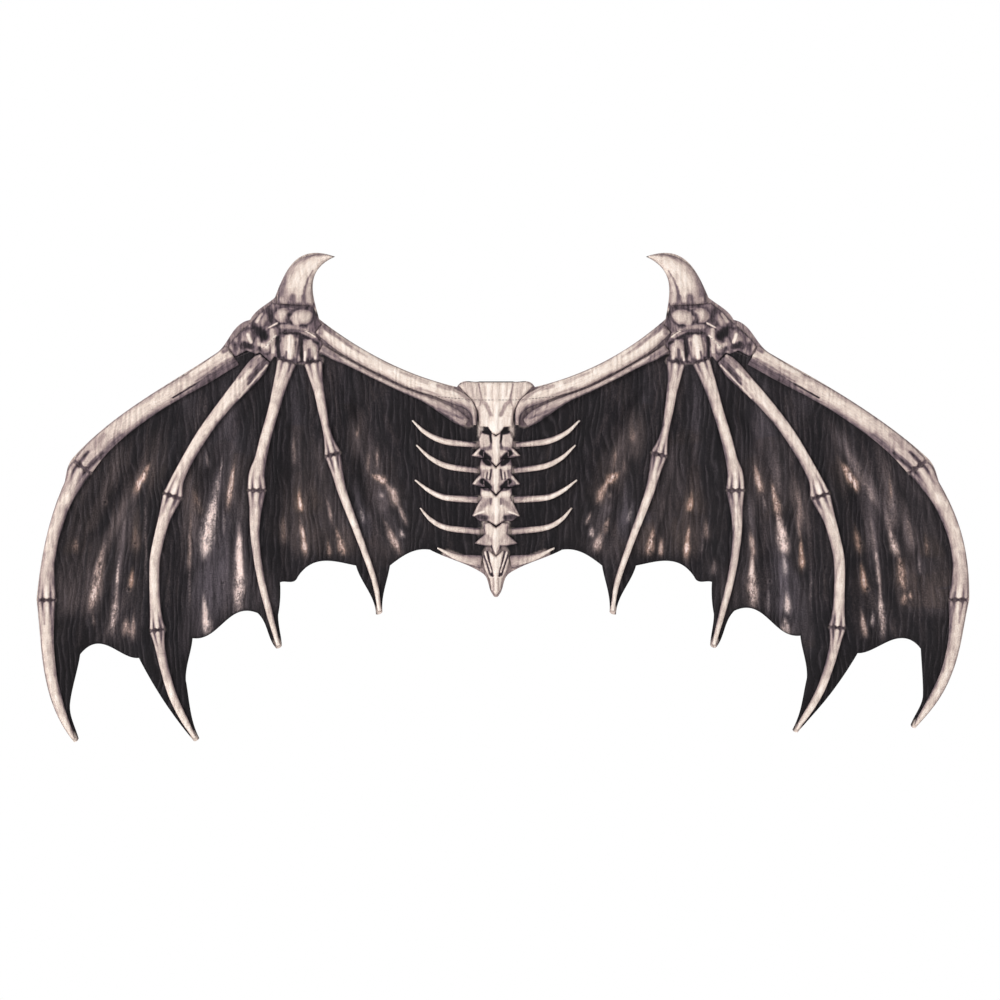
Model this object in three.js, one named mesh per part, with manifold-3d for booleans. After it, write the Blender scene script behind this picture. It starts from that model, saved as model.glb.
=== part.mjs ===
// Costume bat wings: one printed cloth panel with padded bones on its front and two shoulder straps.
// Millimetres, +Z up. The printed front faces -Y and the wearer's back is at +Y.
// The origin is on the centre line, on the cloth's back face, at the height of the upper strap ends.
import * as THREE from 'three';
import { mergeVertices } from 'three/addons/utils/BufferGeometryUtils.js';
import manifoldModule from 'manifold-3d';

const manifoldLibrary = await manifoldModule();
manifoldLibrary.setup();
const { Manifold, Mesh: ManifoldMesh } = manifoldLibrary;

// Driving sizes
const HALF_SPAN = 500;
const CLOTH = 2;
const GAP = 0.3;
const RIM = 0.5;
const SWEEP = 30;

// How the cloth hangs back between the bones, and its radiating folds
const SAG = 7;
const FLAT_BORDER = 4;
const SAG_REACH = 34;
const FOLD = 2.2;
const FOLDS_PER_RADIAN = 26;
const FLAT_STEP = 8;
const WRIST = { out: 215, up: 75 };
const SPINE = { top: 20, tip: -212, flatHalf: 28 };

// Grid of the cloth plate
const PLATE = { left: -530, right: 530, bottom: -385, top: 170, columns: 54, rows: 24 };
const EDGE_STEP = 9;
const CUTTER_DEPTH = 200;

// Height of each kind of bone above the cloth
const RISE = { finger: 3.6, arm: 5, claw: 5, rib: 2.8, spine: 5 };
const PAD = 1.4;
const DOME = { steps: [0, 0.45, 1], sides: 10 };
const BEVEL_SHARE = 0.35;
const BONE_STEP = 22;
const CLAW_STEP = 9;
const BONE_END = 3;
const END_SHARE = 0.6;
const WELD = 1e-4;

const BONE_COLOUR = 0xdccdbf;
const CLOTH_COLOUR = 0x332e32;
const STRAP_COLOUR = 0x17161a;

// Edge of one wing from the top centre outwards and round to the tail.
// Each row is the next corner, and how far the edge bows out of the cloth
// a third and two thirds of the way there.
const EDGE_COLUMNS = ['out', 'up', 'bowA', 'bowB'];
const EDGE = table(EDGE_COLUMNS, [
  [18, 20, 0, 0],
  [42, 14, 2, 4],
  [190, 87, -8.3, -8],
  [173, 154, -12.3, -15.9],
  [237.5, 110, 20, 16],
  [264, 86, 1, 2],
  [299, 51, 4.5, 1.6],
  [453, -62, 4.2, 6.6],
  [462, -88, 2, 1.5],
  [492, -214, 5, 4.5],
  [452, -367, 8.6, 12.4],
  [447.3, -363, 1, 1],
  [456.6, -327, -0.9, -1.7],
  [446, -273, -0.6, 0],
  [383, -277, -12.5, -5],
  [324, -366.5, 2.8, 2.8],
  [318.5, -363, 1, 1],
  [333, -301, -2.6, -1.6],
  [326, -256, -1.1, -0.2],
  [256, -229, 1, -7.5],
  [236, -267, -1.5, 0.5],
  [230, -264, 1, 1],
  [234, -231, 0, -0.5],
  [232, -196, 1, 1],
  [213, -190, 1.5, 3.5],
  [150.5, -178, -11.5, -8.5],
  [129, -230.5, -0.5, -2.6],
  [122, -228, 1, 1],
  [114, -178, -2, -1],
  [71, -161, -4, -5],
  [15.5, -185.5, 0, -1],
  [5, -207, -2.2, -1],
  [0, -212, 0.5, 1],
]);

// The right wing is pulled about a little: its outer edge spread, its claw leaning in, its tips lifted.
const LAY_COLUMNS = ['side', 'out', 'up', 'reachOut', 'reachUp', 'shiftOut', 'shiftUp'];
const LAY = table(LAY_COLUMNS, [
  [1, 505, -150, 95, 130, 19, 0],
  [1, 185, 150, 110, 90, -12, 0],
  [1, 285, 65, 60, 50, -6, 0],
  [1, 420, -272, 70, 40, 5, 6],
  [1, 290, -235, 50, 40, 0, 4],
  [1, 455, -375, 90, 60, -4, 15],
  [1, 324, -375, 60, 50, 0, 8],
]);

// Cross-section of a padded bone, as shares of its half width and of its height.
const CROWN_COLUMNS = ['across', 'height'];
const CROWN = table(CROWN_COLUMNS, [[-1, 0], [-1, 0.3], [-0.6, 0.82], [0, 1], [0.6, 0.82], [1, 0.3], [1, 0]]);

// Long bones of one wing: sections along each bone, as distance out, height and half width.
const SECTION_COLUMNS = ['out', 'up', 'half'];
const ARM_BONES = {
  forearm_upper: table(SECTION_COLUMNS, [
    [23, -27, 3], [24, -15, 4], [31, -4, 7], [46, 4, 8.5], [65, 11.5, 8.5], [88, 19, 8.5], [116, 31.5, 8],
    [145, 46.5, 8.5], [170, 62, 8.5], [190, 77, 7],
  ]),
  forearm_lower: table(SECTION_COLUMNS, [
    [32, -25, 5], [42, -18, 7], [57, -9, 6], [75, 0.5, 3.8], [101, 11, 2.6], [130, 25, 2.6], [159, 40, 3.2],
    [172, 46, 4], [188, 55.3, 4.8],
  ]),
};
const CLAW = table(SECTION_COLUMNS, [
  [216, 102.5, 19.8], [214.8, 121, 17.4], [209.6, 134, 14.2], [202.4, 143, 11.6], [193, 149.6, 7.8],
  [182, 153.4, 3.4], [176, 153.8, 1.2],
]);
const FINGER_BONES = {
  finger_1_base: table(SECTION_COLUMNS, [
    [282.5, 48, 12.5], [316, 25.5, 10.7], [344, 9.5, 10.3], [373, -8.5, 10.4], [408, -34.7, 10.8],
    [428.8, -54.2, 11.7], [442.5, -71, 12.5],
  ]),
  finger_1_middle: table(SECTION_COLUMNS, [
    [443.9, -72.8, 12.5], [447.5, -78.2, 12], [453.5, -91.2, 9.6], [461, -107, 8], [469, -128, 7.5],
    [475.5, -151, 7.2], [480, -181, 7.5], [481, -203, 9.4], [481, -213.8, 10.4],
  ]),
  finger_1_tip: table(SECTION_COLUMNS, [
    [481, -215.4, 10.4], [480.9, -238, 8.3], [480.2, -259, 7.1], [476, -297, 6.4], [466.8, -331.3, 5.6],
    [456.2, -356, 3.4], [452.4, -363.5, 2],
  ]),
  finger_2_base: table(SECTION_COLUMNS, [
    [248.5, 44.8, 7.5], [256, 36, 10.2], [269, 20.5, 9.6], [290, -4, 7.4], [316, -39, 6.5], [341, -84, 7],
    [346.8, -102.5, 10.5],
  ]),
  finger_2_middle: table(SECTION_COLUMNS, [
    [347.3, -104, 10.5], [356, -128, 6.5], [362, -151, 5.8], [366, -173, 5.6], [366, -212, 5.6],
    [365, -229, 6.3], [363, -246.2, 8.5],
  ]),
  finger_2_tip: table(SECTION_COLUMNS, [
    [363, -247.8, 8.5], [361, -262, 5.8], [356, -286, 4.8], [347, -317, 4.5], [334, -344, 3.8],
    [323, -362.8, 2],
  ]),
  finger_3_base: table(SECTION_COLUMNS, [
    [224.6, 41.2, 10.5], [229, 26, 8.5], [234, 8, 7], [239, -11, 6], [248, -43, 6], [253, -64, 6.5],
    [257, -80, 8.5], [257, -96.4, 10],
  ]),
  finger_3_tip: table(SECTION_COLUMNS, [
    [257, -98, 9.8], [258, -116, 7], [259, -134, 5.5], [258, -156, 4.5], [252, -194, 4], [243, -230, 3.5],
    [233.8, -263.6, 2.2],
  ]),
  finger_4_base: table(SECTION_COLUMNS, [
    [196.5, 40.3, 10], [193, 22, 7], [190, 8, 5.5], [187, -8, 5], [181, -37, 4.5], [175.4, -58, 9],
  ]),
  finger_4_tip: table(SECTION_COLUMNS, [
    [174.9, -59.6, 8.8], [170, -80, 6], [165, -99, 5], [158, -118, 4.5], [142, -161, 3.5], [130, -197, 3],
    [125, -226.4, 2],
  ]),
};

// Ribs, from the tip to the spine.
const RIBS = [
  table(SECTION_COLUMNS, [[90, -22, 0.9], [76, -35, 2.4], [57, -44, 3.3], [21.5, -48.3, 3]]),
  table(SECTION_COLUMNS, [[85.5, -48.5, 0.9], [70.5, -62.3, 2.3], [53, -71, 3.1], [19.5, -75.8, 3.2]]),
  table(SECTION_COLUMNS, [[87, -86, 0.9], [71, -98, 2.4], [55.5, -104.6, 3.2], [19.5, -107, 3.8]]),
  table(SECTION_COLUMNS, [[81.5, -116, 0.9], [70.5, -128.3, 2.2], [56, -136.5, 3], [17, -141.5, 3.6]]),
  table(SECTION_COLUMNS, [[63, -159, 0.9], [43, -168.5, 3.4], [15.6, -174, 7]]),
];

// The wrist is one pad with a row for each small bone that swells from it.
const CORNER_COLUMNS = ['out', 'up'];
const WRIST_PAD = table(CORNER_COLUMNS, [
  [196.5, 99.8], [233, 102.7], [240, 104], [251, 95.5], [263, 83], [277, 70.5], [285, 61.8], [287, 57],
  [280, 46.5], [268, 53], [258, 49.5], [253.4, 50.6], [242.3, 41.1], [238, 46.5], [234.8, 45.3],
  [214.5, 39.4], [210, 42], [206.2, 39.6], [187.2, 43.3], [191.3, 51.6], [186.5, 60.2], [190.3, 66],
  [194.6, 72.8], [188.3, 81], [192, 88], [194, 95],
]);
const CARPAL_COLUMNS = ['out', 'up', 'halfLong', 'halfWide', 'turn', 'rise'];
const CARPALS = table(CARPAL_COLUMNS, [
  [229, 91, 7.5, 7, 0, 4.5],
  [209, 89, 11, 7.5, -10, 4.5],
  [243, 64, 13, 6, 118, 4],
  [222, 58, 13, 9, 95, 4.5],
  [201, 54, 10, 8.5, 100, 4.2],
  [250, 87, 9, 5, 130, 3.6],
  [267, 67, 9, 6, 120, 3.8],
]);

// The spine's first and last bones: one half of each outline, down from the top.
const SPINE_TOP = table(CORNER_COLUMNS, [
  [0, 19], [18, 19], [33, 19.5], [40, 15.5], [33, 8], [24, -2], [19, -12], [18, -28], [9, -30], [5, -35],
  [0, -37.5],
]);
const TAIL_BONE = table(CORNER_COLUMNS, [
  [0, -168.5], [7, -162], [13, -162.5], [14, -172], [12, -182], [7, -192], [4.8, -204], [0, -210.5],
]);

// Vertebrae from the top: the heights of the top, its notch, the neck above the side points, the side points,
// the lower edge and the lower tip, and the half widths at the waist, the body and the side points.
const VERTEBRA_COLUMNS = ['top', 'notch', 'waist', 'body', 'neck', 'wing', 'wingUp', 'low', 'tip'];
const NECK_INSET = 1;
const VERTEBRAE = table(VERTEBRA_COLUMNS, [
  [-33, -39, 15, 18.5, -51, 26.5, -60, -62, -71.5],
  [-64, -73, 16, 17.5, -79, 26, -90.5, -93.3, -101.5],
  [-95, -103.5, 16.5, 17, -105, 25.5, -124.5, -130, -135],
  [-132, -137.5, 13.5, 13, -144, 23, -154, -157, -167.5],
]);

// Shoulder straps behind the cloth, seen from the side: distance behind the cloth and height.
const STRAP = { out: 72, width: 25, thickness: 2, spots: [[72, -14], [72, -130]], spotHalf: 40, steps: 24 };
const STRAP_COLUMNS = ['behind', 'up'];
const STRAP_PATH = table(STRAP_COLUMNS, [
  [0, -24], [0, -8], [7, 3], [30, 9], [62, 2], [86, -24], [95, -70], [86, -118], [62, -143], [30, -153],
  [7, -149], [0, -138], [0, -120],
]);

function table(columns, rows) {
  return rows.map((row) => Object.fromEntries(columns.map((column, index) => [column, row[index]])));
}

// How far a point of one wing is pulled from its place.
function layOf(side, out, up) {
  const shift = { out: 0, up: 0 };
  for (const pull of LAY.filter((row) => row.side === side)) {
    const across = (out - pull.out) / pull.reachOut;
    const along = (up - pull.up) / pull.reachUp;
    const share = Math.exp(-across * across - along * along);
    shift.out += share * pull.shiftOut;
    shift.up += share * pull.shiftUp;
  }
  return shift;
}

// The place of a wing point on the finished object.
function place(side, out, up) {
  const shift = layOf(side, out, up);
  return new THREE.Vector2(side * (out + shift.out), up + shift.up);
}

// The y of the cloth's back face where it is held flat: the wings sweep forward towards their ends.
function sweepAt(x) {
  return -SWEEP * (x / HALF_SPAN) ** 2;
}

// A curve between two corners that stands off its chord by bowA at a third and bowB at two thirds.
function bowedCurve(from, to, bowA, bowB) {
  const chord = to.clone().sub(from);
  const outward = new THREE.Vector2(-chord.y, chord.x).normalize();
  const handle = (share, bow) => from.clone().addScaledVector(chord, share).addScaledVector(outward, bow);
  const handleA = handle(1 / 3, 3 * bowA - 1.5 * bowB);
  const handleB = handle(2 / 3, 3 * bowB - 1.5 * bowA);
  return new THREE.CubicBezierCurve(from, handleA, handleB, to);
}

// The edge of one wing as points from the top centre to the tail.
function wingEdge() {
  const points = [];
  let from = new THREE.Vector2(0, EDGE[0].up);
  for (const row of EDGE) {
    const to = new THREE.Vector2(row.out, row.up);
    const curve = bowedCurve(from, to, row.bowA, row.bowB);
    const steps = Math.max(1, Math.round(curve.getLength() / EDGE_STEP));
    points.push(...curve.getPoints(steps).slice(0, -1));
    from = to;
  }
  points.push(from);
  return points;
}

// The whole outline, right wing first, then the left wing back up to the top centre.
function outline() {
  const edge = wingEdge();
  const right = edge.map((point) => place(1, point.x, point.y));
  const left = edge.slice(1, -1).map((point) => place(-1, point.x, point.y));
  return new THREE.Shape([...right, ...left.reverse()]);
}

// The middle line and half width of a bone as an even run of sections.
function sectionsOf(rows, step) {
  const points = rows.map((row) => new THREE.Vector3(row.out, row.up, row.half));
  const curve = new THREE.CatmullRomCurve3(points, false, 'centripetal');
  const length = curve.getLength();
  const count = Math.max(3, Math.round(length / step));
  const stations = [0, BONE_END / length];
  for (let index = 1; index < count; index += 1) {
    stations.push(index / count);
  }
  stations.push(1 - BONE_END / length, 1);
  return stations.map((station, index) => {
    const point = curve.getPointAt(station);
    const tangent = curve.getTangentAt(station);
    const across = new THREE.Vector2(-tangent.y, tangent.x).normalize();
    const isEnd = index === 0 || index === stations.length - 1;
    const blunt = isEnd ? END_SHARE : 1;
    return { out: point.x, up: point.y, half: point.z * blunt, across, blunt };
  });
}

// Closed solid from rings of equal length, each a loop of points, with flat ends.
function closedLoft(rings) {
  const sides = rings[0].length;
  const positions = rings.flat().flatMap((point) => point.toArray());
  const faces = [];
  for (let ring = 0; ring + 1 < rings.length; ring += 1) {
    for (let side = 0; side < sides; side += 1) {
      const next = (side + 1) % sides;
      const a = ring * sides + side;
      const b = ring * sides + next;
      faces.push(a, a + sides, b, b, a + sides, b + sides);
    }
  }
  const last = (rings.length - 1) * sides;
  for (let side = 1; side + 1 < sides; side += 1) {
    faces.push(0, side, side + 1);
    faces.push(last, last + side + 1, last + side);
  }
  const geometry = new THREE.BufferGeometry();
  geometry.setAttribute('position', new THREE.Float32BufferAttribute(positions, 3));
  geometry.setIndex(faces);
  return geometry;
}

// A padded bone lying flat, with its crown towards the viewer.
function paddedBone(rows, rise, rim = 0, step = BONE_STEP) {
  const rings = sectionsOf(rows, step).map((section) => CROWN.map((corner) => new THREE.Vector3(
    section.out + section.across.x * corner.across * (section.half - rim),
    section.up + section.across.y * corner.across * (section.half - rim),
    corner.height * rise * section.blunt,
  )));
  return closedLoft(rings);
}

// A flat bone lying on the cloth, cut from an outline with a bevelled crown.
function paddedOutline(points, rise) {
  const bevel = rise * BEVEL_SHARE;
  const shape = new THREE.Shape(points.map((corner) => new THREE.Vector2(corner.out, corner.up)));
  const geometry = new THREE.ExtrudeGeometry(shape, {
    depth: rise - 2 * bevel,
    bevelEnabled: true,
    bevelThickness: bevel,
    bevelSize: bevel,
    bevelOffset: -bevel,
    bevelSegments: 1,
  });
  geometry.translate(0, 0, bevel);
  return geometry;
}

function toManifold(geometry) {
  const plain = new THREE.BufferGeometry();
  plain.setAttribute('position', geometry.getAttribute('position').clone());
  if (geometry.index) {
    plain.setIndex(geometry.index.clone());
  }
  const welded = mergeVertices(plain, WELD);
  return new Manifold(new ManifoldMesh({
    numProp: 3,
    vertProperties: Float32Array.from(welded.getAttribute('position').array),
    triVerts: Uint32Array.from(welded.index.array),
  }));
}

function toGeometry(solid) {
  const mesh = solid.getMesh();
  const geometry = new THREE.BufferGeometry();
  geometry.setAttribute('position', new THREE.Float32BufferAttribute(mesh.vertProperties, 3));
  geometry.setIndex(Array.from(mesh.triVerts));
  return geometry;
}

// Moves a flat bone (out, up, height) onto the front of one wing's cloth.
function settle(geometry, side) {
  const positions = geometry.getAttribute('position');
  for (let index = 0; index < positions.count; index += 1) {
    const spot = place(side, positions.getX(index), positions.getY(index));
    const front = sweepAt(spot.x) - CLOTH - GAP;
    positions.setXYZ(index, spot.x, front - positions.getZ(index), spot.y);
  }
  if (side < 0) {
    turnInsideOut(geometry);
  }
  return geometry;
}

function turnInsideOut(geometry) {
  const faces = geometry.index ? geometry.index.array : null;
  const positions = geometry.getAttribute('position').array;
  const size = faces ? 1 : 3;
  const list = faces ?? positions;
  for (let start = 0; start < list.length; start += 3 * size) {
    for (let part = 0; part < size; part += 1) {
      const kept = list[start + size + part];
      list[start + size + part] = list[start + 2 * size + part];
      list[start + 2 * size + part] = kept;
    }
  }
}

// Every place where the cloth lies flat: along the bones and where the straps are sewn on.
function flatPlaces() {
  const places = [];
  for (const side of [-1, 1]) {
    const longBones = [...Object.values(ARM_BONES), CLAW, ...Object.values(FINGER_BONES)];
    for (const run of [...longBones, ...RIBS]) {
      for (const section of sectionsOf(run, FLAT_STEP)) {
        places.push({ spot: place(side, section.out, section.up), half: section.half });
      }
    }
    for (const carpal of CARPALS) {
      places.push({ spot: place(side, carpal.out, carpal.up), half: carpal.halfLong + FLAT_BORDER });
    }
    for (const [out, up] of STRAP.spots) {
      places.push({ spot: new THREE.Vector2(side * out, up), half: STRAP.spotHalf });
    }
  }
  for (let up = SPINE.top; up > SPINE.tip; up -= FLAT_STEP) {
    places.push({ spot: new THREE.Vector2(0, up), half: SPINE.flatHalf });
  }
  return places;
}

// How far the cloth hangs back at a point of the finished object.
function sagAt(x, up, places) {
  const clear = Math.min(...places.map(({ spot, half }) => Math.hypot(x - spot.x, up - spot.y) - half));
  const share = THREE.MathUtils.smoothstep(clear, FLAT_BORDER, FLAT_BORDER + SAG_REACH);
  const angle = Math.atan2(Math.abs(x) - WRIST.out, WRIST.up - up);
  return share * (SAG + FOLD * Math.sin(angle * FOLDS_PER_RADIAN));
}

// The cloth: a folded plate trimmed to the outline.
function clothPanel() {
  const places = flatPlaces();
  const layers = [CLOTH, 0].map((depth) => {
    const points = [];
    for (let row = 0; row <= PLATE.rows; row += 1) {
      for (let column = 0; column <= PLATE.columns; column += 1) {
        const x = THREE.MathUtils.lerp(PLATE.left, PLATE.right, column / PLATE.columns);
        const up = THREE.MathUtils.lerp(PLATE.bottom, PLATE.top, row / PLATE.rows);
        points.push(x, sweepAt(x) + sagAt(x, up, places) - depth, up);
      }
    }
    return points;
  });
  const width = PLATE.columns + 1;
  const back = width * (PLATE.rows + 1);
  const faces = [];
  const quad = (a, b, c, d) => faces.push(a, b, c, a, c, d);
  for (let row = 0; row < PLATE.rows; row += 1) {
    for (let column = 0; column < PLATE.columns; column += 1) {
      const corner = row * width + column;
      quad(corner, corner + 1, corner + width + 1, corner + width);
      quad(back + corner, back + corner + width, back + corner + width + 1, back + corner + 1);
    }
  }
  for (let column = 0; column < PLATE.columns; column += 1) {
    const top = PLATE.rows * width + column;
    quad(column, back + column, back + column + 1, column + 1);
    quad(top, top + 1, back + top + 1, back + top);
  }
  for (let row = 0; row < PLATE.rows; row += 1) {
    const left = row * width;
    const right = left + PLATE.columns;
    quad(left, left + width, back + left + width, back + left);
    quad(right, back + right, back + right + width, right + width);
  }
  const plate = new THREE.BufferGeometry();
  plate.setAttribute('position', new THREE.Float32BufferAttribute(layers.flat(), 3));
  plate.setIndex(faces);

  const cutter = new THREE.ExtrudeGeometry(outline(), { depth: CUTTER_DEPTH, bevelEnabled: false });
  cutter.rotateX(Math.PI / 2);
  cutter.translate(0, CUTTER_DEPTH / 2, 0);
  return toGeometry(toManifold(plate).intersect(toManifold(cutter)));
}

// The wrist: a pad with small rounded bones swelling from it.
function wristPad() {
  const shape = new THREE.Shape(WRIST_PAD.map((corner) => new THREE.Vector2(corner.out, corner.up)));
  let solid = toManifold(new THREE.ExtrudeGeometry(shape, { depth: PAD, bevelEnabled: false }));
  for (const carpal of CARPALS) {
    const profile = DOME.steps.map((step) => {
      const angle = step * Math.PI / 2;
      return new THREE.Vector2(Math.cos(angle), Math.sin(angle));
    });
    const dome = new THREE.LatheGeometry([new THREE.Vector2(0, 0), ...profile], DOME.sides);
    dome.rotateX(Math.PI / 2);
    dome.scale(carpal.halfLong, carpal.halfWide, carpal.rise - PAD / 2);
    dome.rotateZ(THREE.MathUtils.degToRad(carpal.turn));
    dome.translate(carpal.out, carpal.up, PAD / 2);
    solid = solid.add(toManifold(dome));
  }
  return toGeometry(solid);
}

// A whole outline from its right half.
function mirrored(half) {
  const leftHalf = half.filter((corner) => corner.out > 0).reverse();
  return [...half, ...leftHalf.map((corner) => ({ out: -corner.out, up: corner.up }))];
}

// The right half of a vertebra: notch, shoulder, body, neck, side point and lower tip.
function vertebraHalf(row) {
  return table(CORNER_COLUMNS, [
    [0, row.notch],
    [row.waist / 2, row.top],
    [row.waist, row.top],
    [row.body, (row.top + row.neck) / 2],
    [row.body - NECK_INSET, row.neck],
    [row.wing, row.wingUp],
    [row.body, row.low],
    [row.body / 2, row.low],
    [0, row.tip],
  ]);
}

// One strap: its side view, offset to both faces, and drawn out to its width.
function strapBand(side) {
  const path = STRAP_PATH.map((row) => new THREE.Vector3(row.behind, row.up, 0));
  const curve = new THREE.CatmullRomCurve3(path, false, 'centripetal');
  const count = STRAP.steps;
  const faces = [[], []];
  for (let index = 0; index <= count; index += 1) {
    const point = curve.getPointAt(index / count);
    const tangent = curve.getTangentAt(index / count);
    const half = STRAP.thickness / 2;
    faces[0].push(new THREE.Vector2(point.x - tangent.y * half, point.y + tangent.x * half));
    faces[1].push(new THREE.Vector2(point.x + tangent.y * half, point.y - tangent.x * half));
  }
  const shape = new THREE.Shape([...faces[0], ...faces[1].reverse()]);
  const band = new THREE.ExtrudeGeometry(shape, { depth: STRAP.width, bevelEnabled: false });
  band.translate(0, 0, -STRAP.width / 2);
  band.applyMatrix4(new THREE.Matrix4().makeBasis(
    new THREE.Vector3(0, 1, 0), new THREE.Vector3(0, 0, 1), new THREE.Vector3(1, 0, 0)));
  band.computeBoundingBox();
  const clothBack = sweepAt(STRAP.out - STRAP.width / 2);
  band.translate(side * STRAP.out, clothBack + GAP - band.boundingBox.min.y, 0);
  return band;
}

const materials = {
  cloth: new THREE.MeshStandardMaterial({ color: CLOTH_COLOUR, roughness: 0.9, metalness: 0 }),
  bone: new THREE.MeshStandardMaterial({ color: BONE_COLOUR, roughness: 0.85, metalness: 0 }),
  strap: new THREE.MeshStandardMaterial({ color: STRAP_COLOUR, roughness: 0.8, metalness: 0 }),
};
const wings = new THREE.Group();
function addPiece(name, geometry, material) {
  const mesh = new THREE.Mesh(geometry, material);
  mesh.name = name;
  wings.add(mesh);
}

addPiece('cloth_panel', clothPanel(), materials.cloth);
for (const [sideName, side] of [['left', -1], ['right', 1]]) {
  for (const [boneName, rows] of Object.entries(ARM_BONES)) {
    const rim = boneName === 'forearm_upper' ? RIM : 0;
    addPiece(`${sideName}_${boneName}`, settle(paddedBone(rows, RISE.arm, rim), side), materials.bone);
  }
  const claw = paddedBone(CLAW, RISE.claw, RIM, CLAW_STEP);
  addPiece(`${sideName}_thumb_claw`, settle(claw, side), materials.bone);
  addPiece(`${sideName}_wrist`, settle(wristPad(), side), materials.bone);
  for (const [boneName, rows] of Object.entries(FINGER_BONES)) {
    const rim = boneName.startsWith('finger_1') ? RIM : 0;
    addPiece(`${sideName}_${boneName}`, settle(paddedBone(rows, RISE.finger, rim), side), materials.bone);
  }
  RIBS.forEach((rows, index) => {
    addPiece(`${sideName}_rib_${index + 1}`, settle(paddedBone(rows, RISE.rib), side), materials.bone);
  });
  addPiece(`${sideName}_shoulder_strap`, strapBand(side), materials.strap);
}
const spineBones = [['spine_top', SPINE_TOP]];
VERTEBRAE.forEach((row, index) => {
  spineBones.push([`vertebra_${index + 1}`, vertebraHalf(row)]);
});
spineBones.push(['tail_bone', TAIL_BONE]);
for (const [boneName, half] of spineBones) {
  addPiece(boneName, settle(paddedOutline(mirrored(half), RISE.spine), 1), materials.bone);
}

export default wings;
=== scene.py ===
"""Costume bat wings: crinkled printed cloth, padded printed bones in front, two shoulder straps behind."""
import math
from types import SimpleNamespace

import bpy
import numpy as np
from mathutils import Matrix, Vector
from mathutils.bvhtree import BVHTree
from mathutils.geometry import delaunay_2d_cdt
from mathutils.kdtree import KDTree


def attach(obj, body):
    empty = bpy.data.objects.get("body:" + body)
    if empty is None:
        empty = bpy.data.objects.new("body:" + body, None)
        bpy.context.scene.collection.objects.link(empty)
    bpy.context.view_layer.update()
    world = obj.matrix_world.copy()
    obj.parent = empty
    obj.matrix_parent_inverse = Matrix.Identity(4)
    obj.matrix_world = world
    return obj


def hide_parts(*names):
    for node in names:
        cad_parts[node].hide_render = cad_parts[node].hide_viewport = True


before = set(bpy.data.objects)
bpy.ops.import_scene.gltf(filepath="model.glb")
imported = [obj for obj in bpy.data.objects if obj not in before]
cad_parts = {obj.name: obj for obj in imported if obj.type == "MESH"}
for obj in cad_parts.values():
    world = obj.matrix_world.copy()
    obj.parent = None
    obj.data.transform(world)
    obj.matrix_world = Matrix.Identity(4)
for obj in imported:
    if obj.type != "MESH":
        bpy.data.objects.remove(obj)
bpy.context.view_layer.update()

# Sizes are in millimetres; meshes are made in metres.
MM = 0.001
HALF_SPAN = 500
CLOTH = 2
GAP = 0.3
RIM = 0.5
SWEEP = 30
SAG = 7
SAG_REACH = 34
FLAT_BORDER = 4
FOLD = 2.2
FOLDS_PER_RADIAN = 26
WRIST = SimpleNamespace(out=215, up=75)
SPINE = SimpleNamespace(top=20, tip=-212, flat_half=28)
RISE = SimpleNamespace(finger=3.6, arm=5, claw=5, rib=2.8, spine=5)
PAD = 1.4

# Spacing of mesh points and limits of the meshes
FLAT_STEP = 4
FRONT_STEP = 2.05
BACK_STEP = 3.8
EDGE_STEP = 2
BONE_STEP = 1.4
ACROSS_STEP = 0.8
PAD_STEP = 0.95
STRAP_STEP = 2
SEAM_STEP = 0.5
BONE_ACROSS = 8
ROW_PITCH = 0.866
BORDER_CLEAR = 0.6
POINTS_AT_ONCE = 4000
SHARP_ANGLE = 55

# Folds of the cloth and marks of its print: how far apart, long and high they are, and a seed
CREPE = SimpleNamespace(pitch=7, length=60, height=0.9, seed=2)
RIPPLE = SimpleNamespace(pitch=3.6, length=26, height=0.4, seed=3)
DRIFT = SimpleNamespace(pitch=14, length=30, height=3, seed=1)
BACK_FOLD = SimpleNamespace(pitch=17, length=70, height=0.9, seed=4)
WOBBLE = SimpleNamespace(pitch=2.6, length=16, height=1.6, seed=7)
PATCH = SimpleNamespace(pitch=3, length=9, height=0.6, seed=9)
CLOUD = SimpleNamespace(pitch=22, length=70, height=0.3, seed=8)
CREPE_FADE = (0.5, 9)
BACK_FADE = (0.5, 12)
CRINKLE_PITCH = 6.4
CRINKLE_RISE = 0.9
CRINKLE_INSET = 0.55
RIGHT_FOLDS_ON = 900
RIGHT_PRINT_ON = 60

# Tones of the bone print, from 0 for cream to 1 for ink, and how far an end's own tone reaches
TONE = SimpleNamespace(ground=0.36, wrist=0.6, gap=0.74, groove=0.84, edge=0.88, under=0.95)
END_FADE = 26

# A long bone's form and a knuckle's print; places across go from 0 at the middle to 1 at the edge
FORM = SimpleNamespace(
    side=0.28, end=3.5, end_low=0.4, lobe_turn=2.86, lobe_push=0.8, lobe_reach=5,
    groove=0.46, groove_half=0.14, groove_depth=0.3, groove_reach=14, mark_depth=0.4,
)
KNUCKLE_PRINT = SimpleNamespace(
    reach=15, groove=0.44, groove_half=0.13, groove_gain=1.1, middle_half=0.24, middle_light=0.26,
    ridge=0.76, ridge_half=0.12, ridge_light=0.24, line=1.2,
)

# How the print spreads below the wrist, outwards and inwards
FAN = SimpleNamespace(outer=0.25, inner=0.9, length=300)

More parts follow.
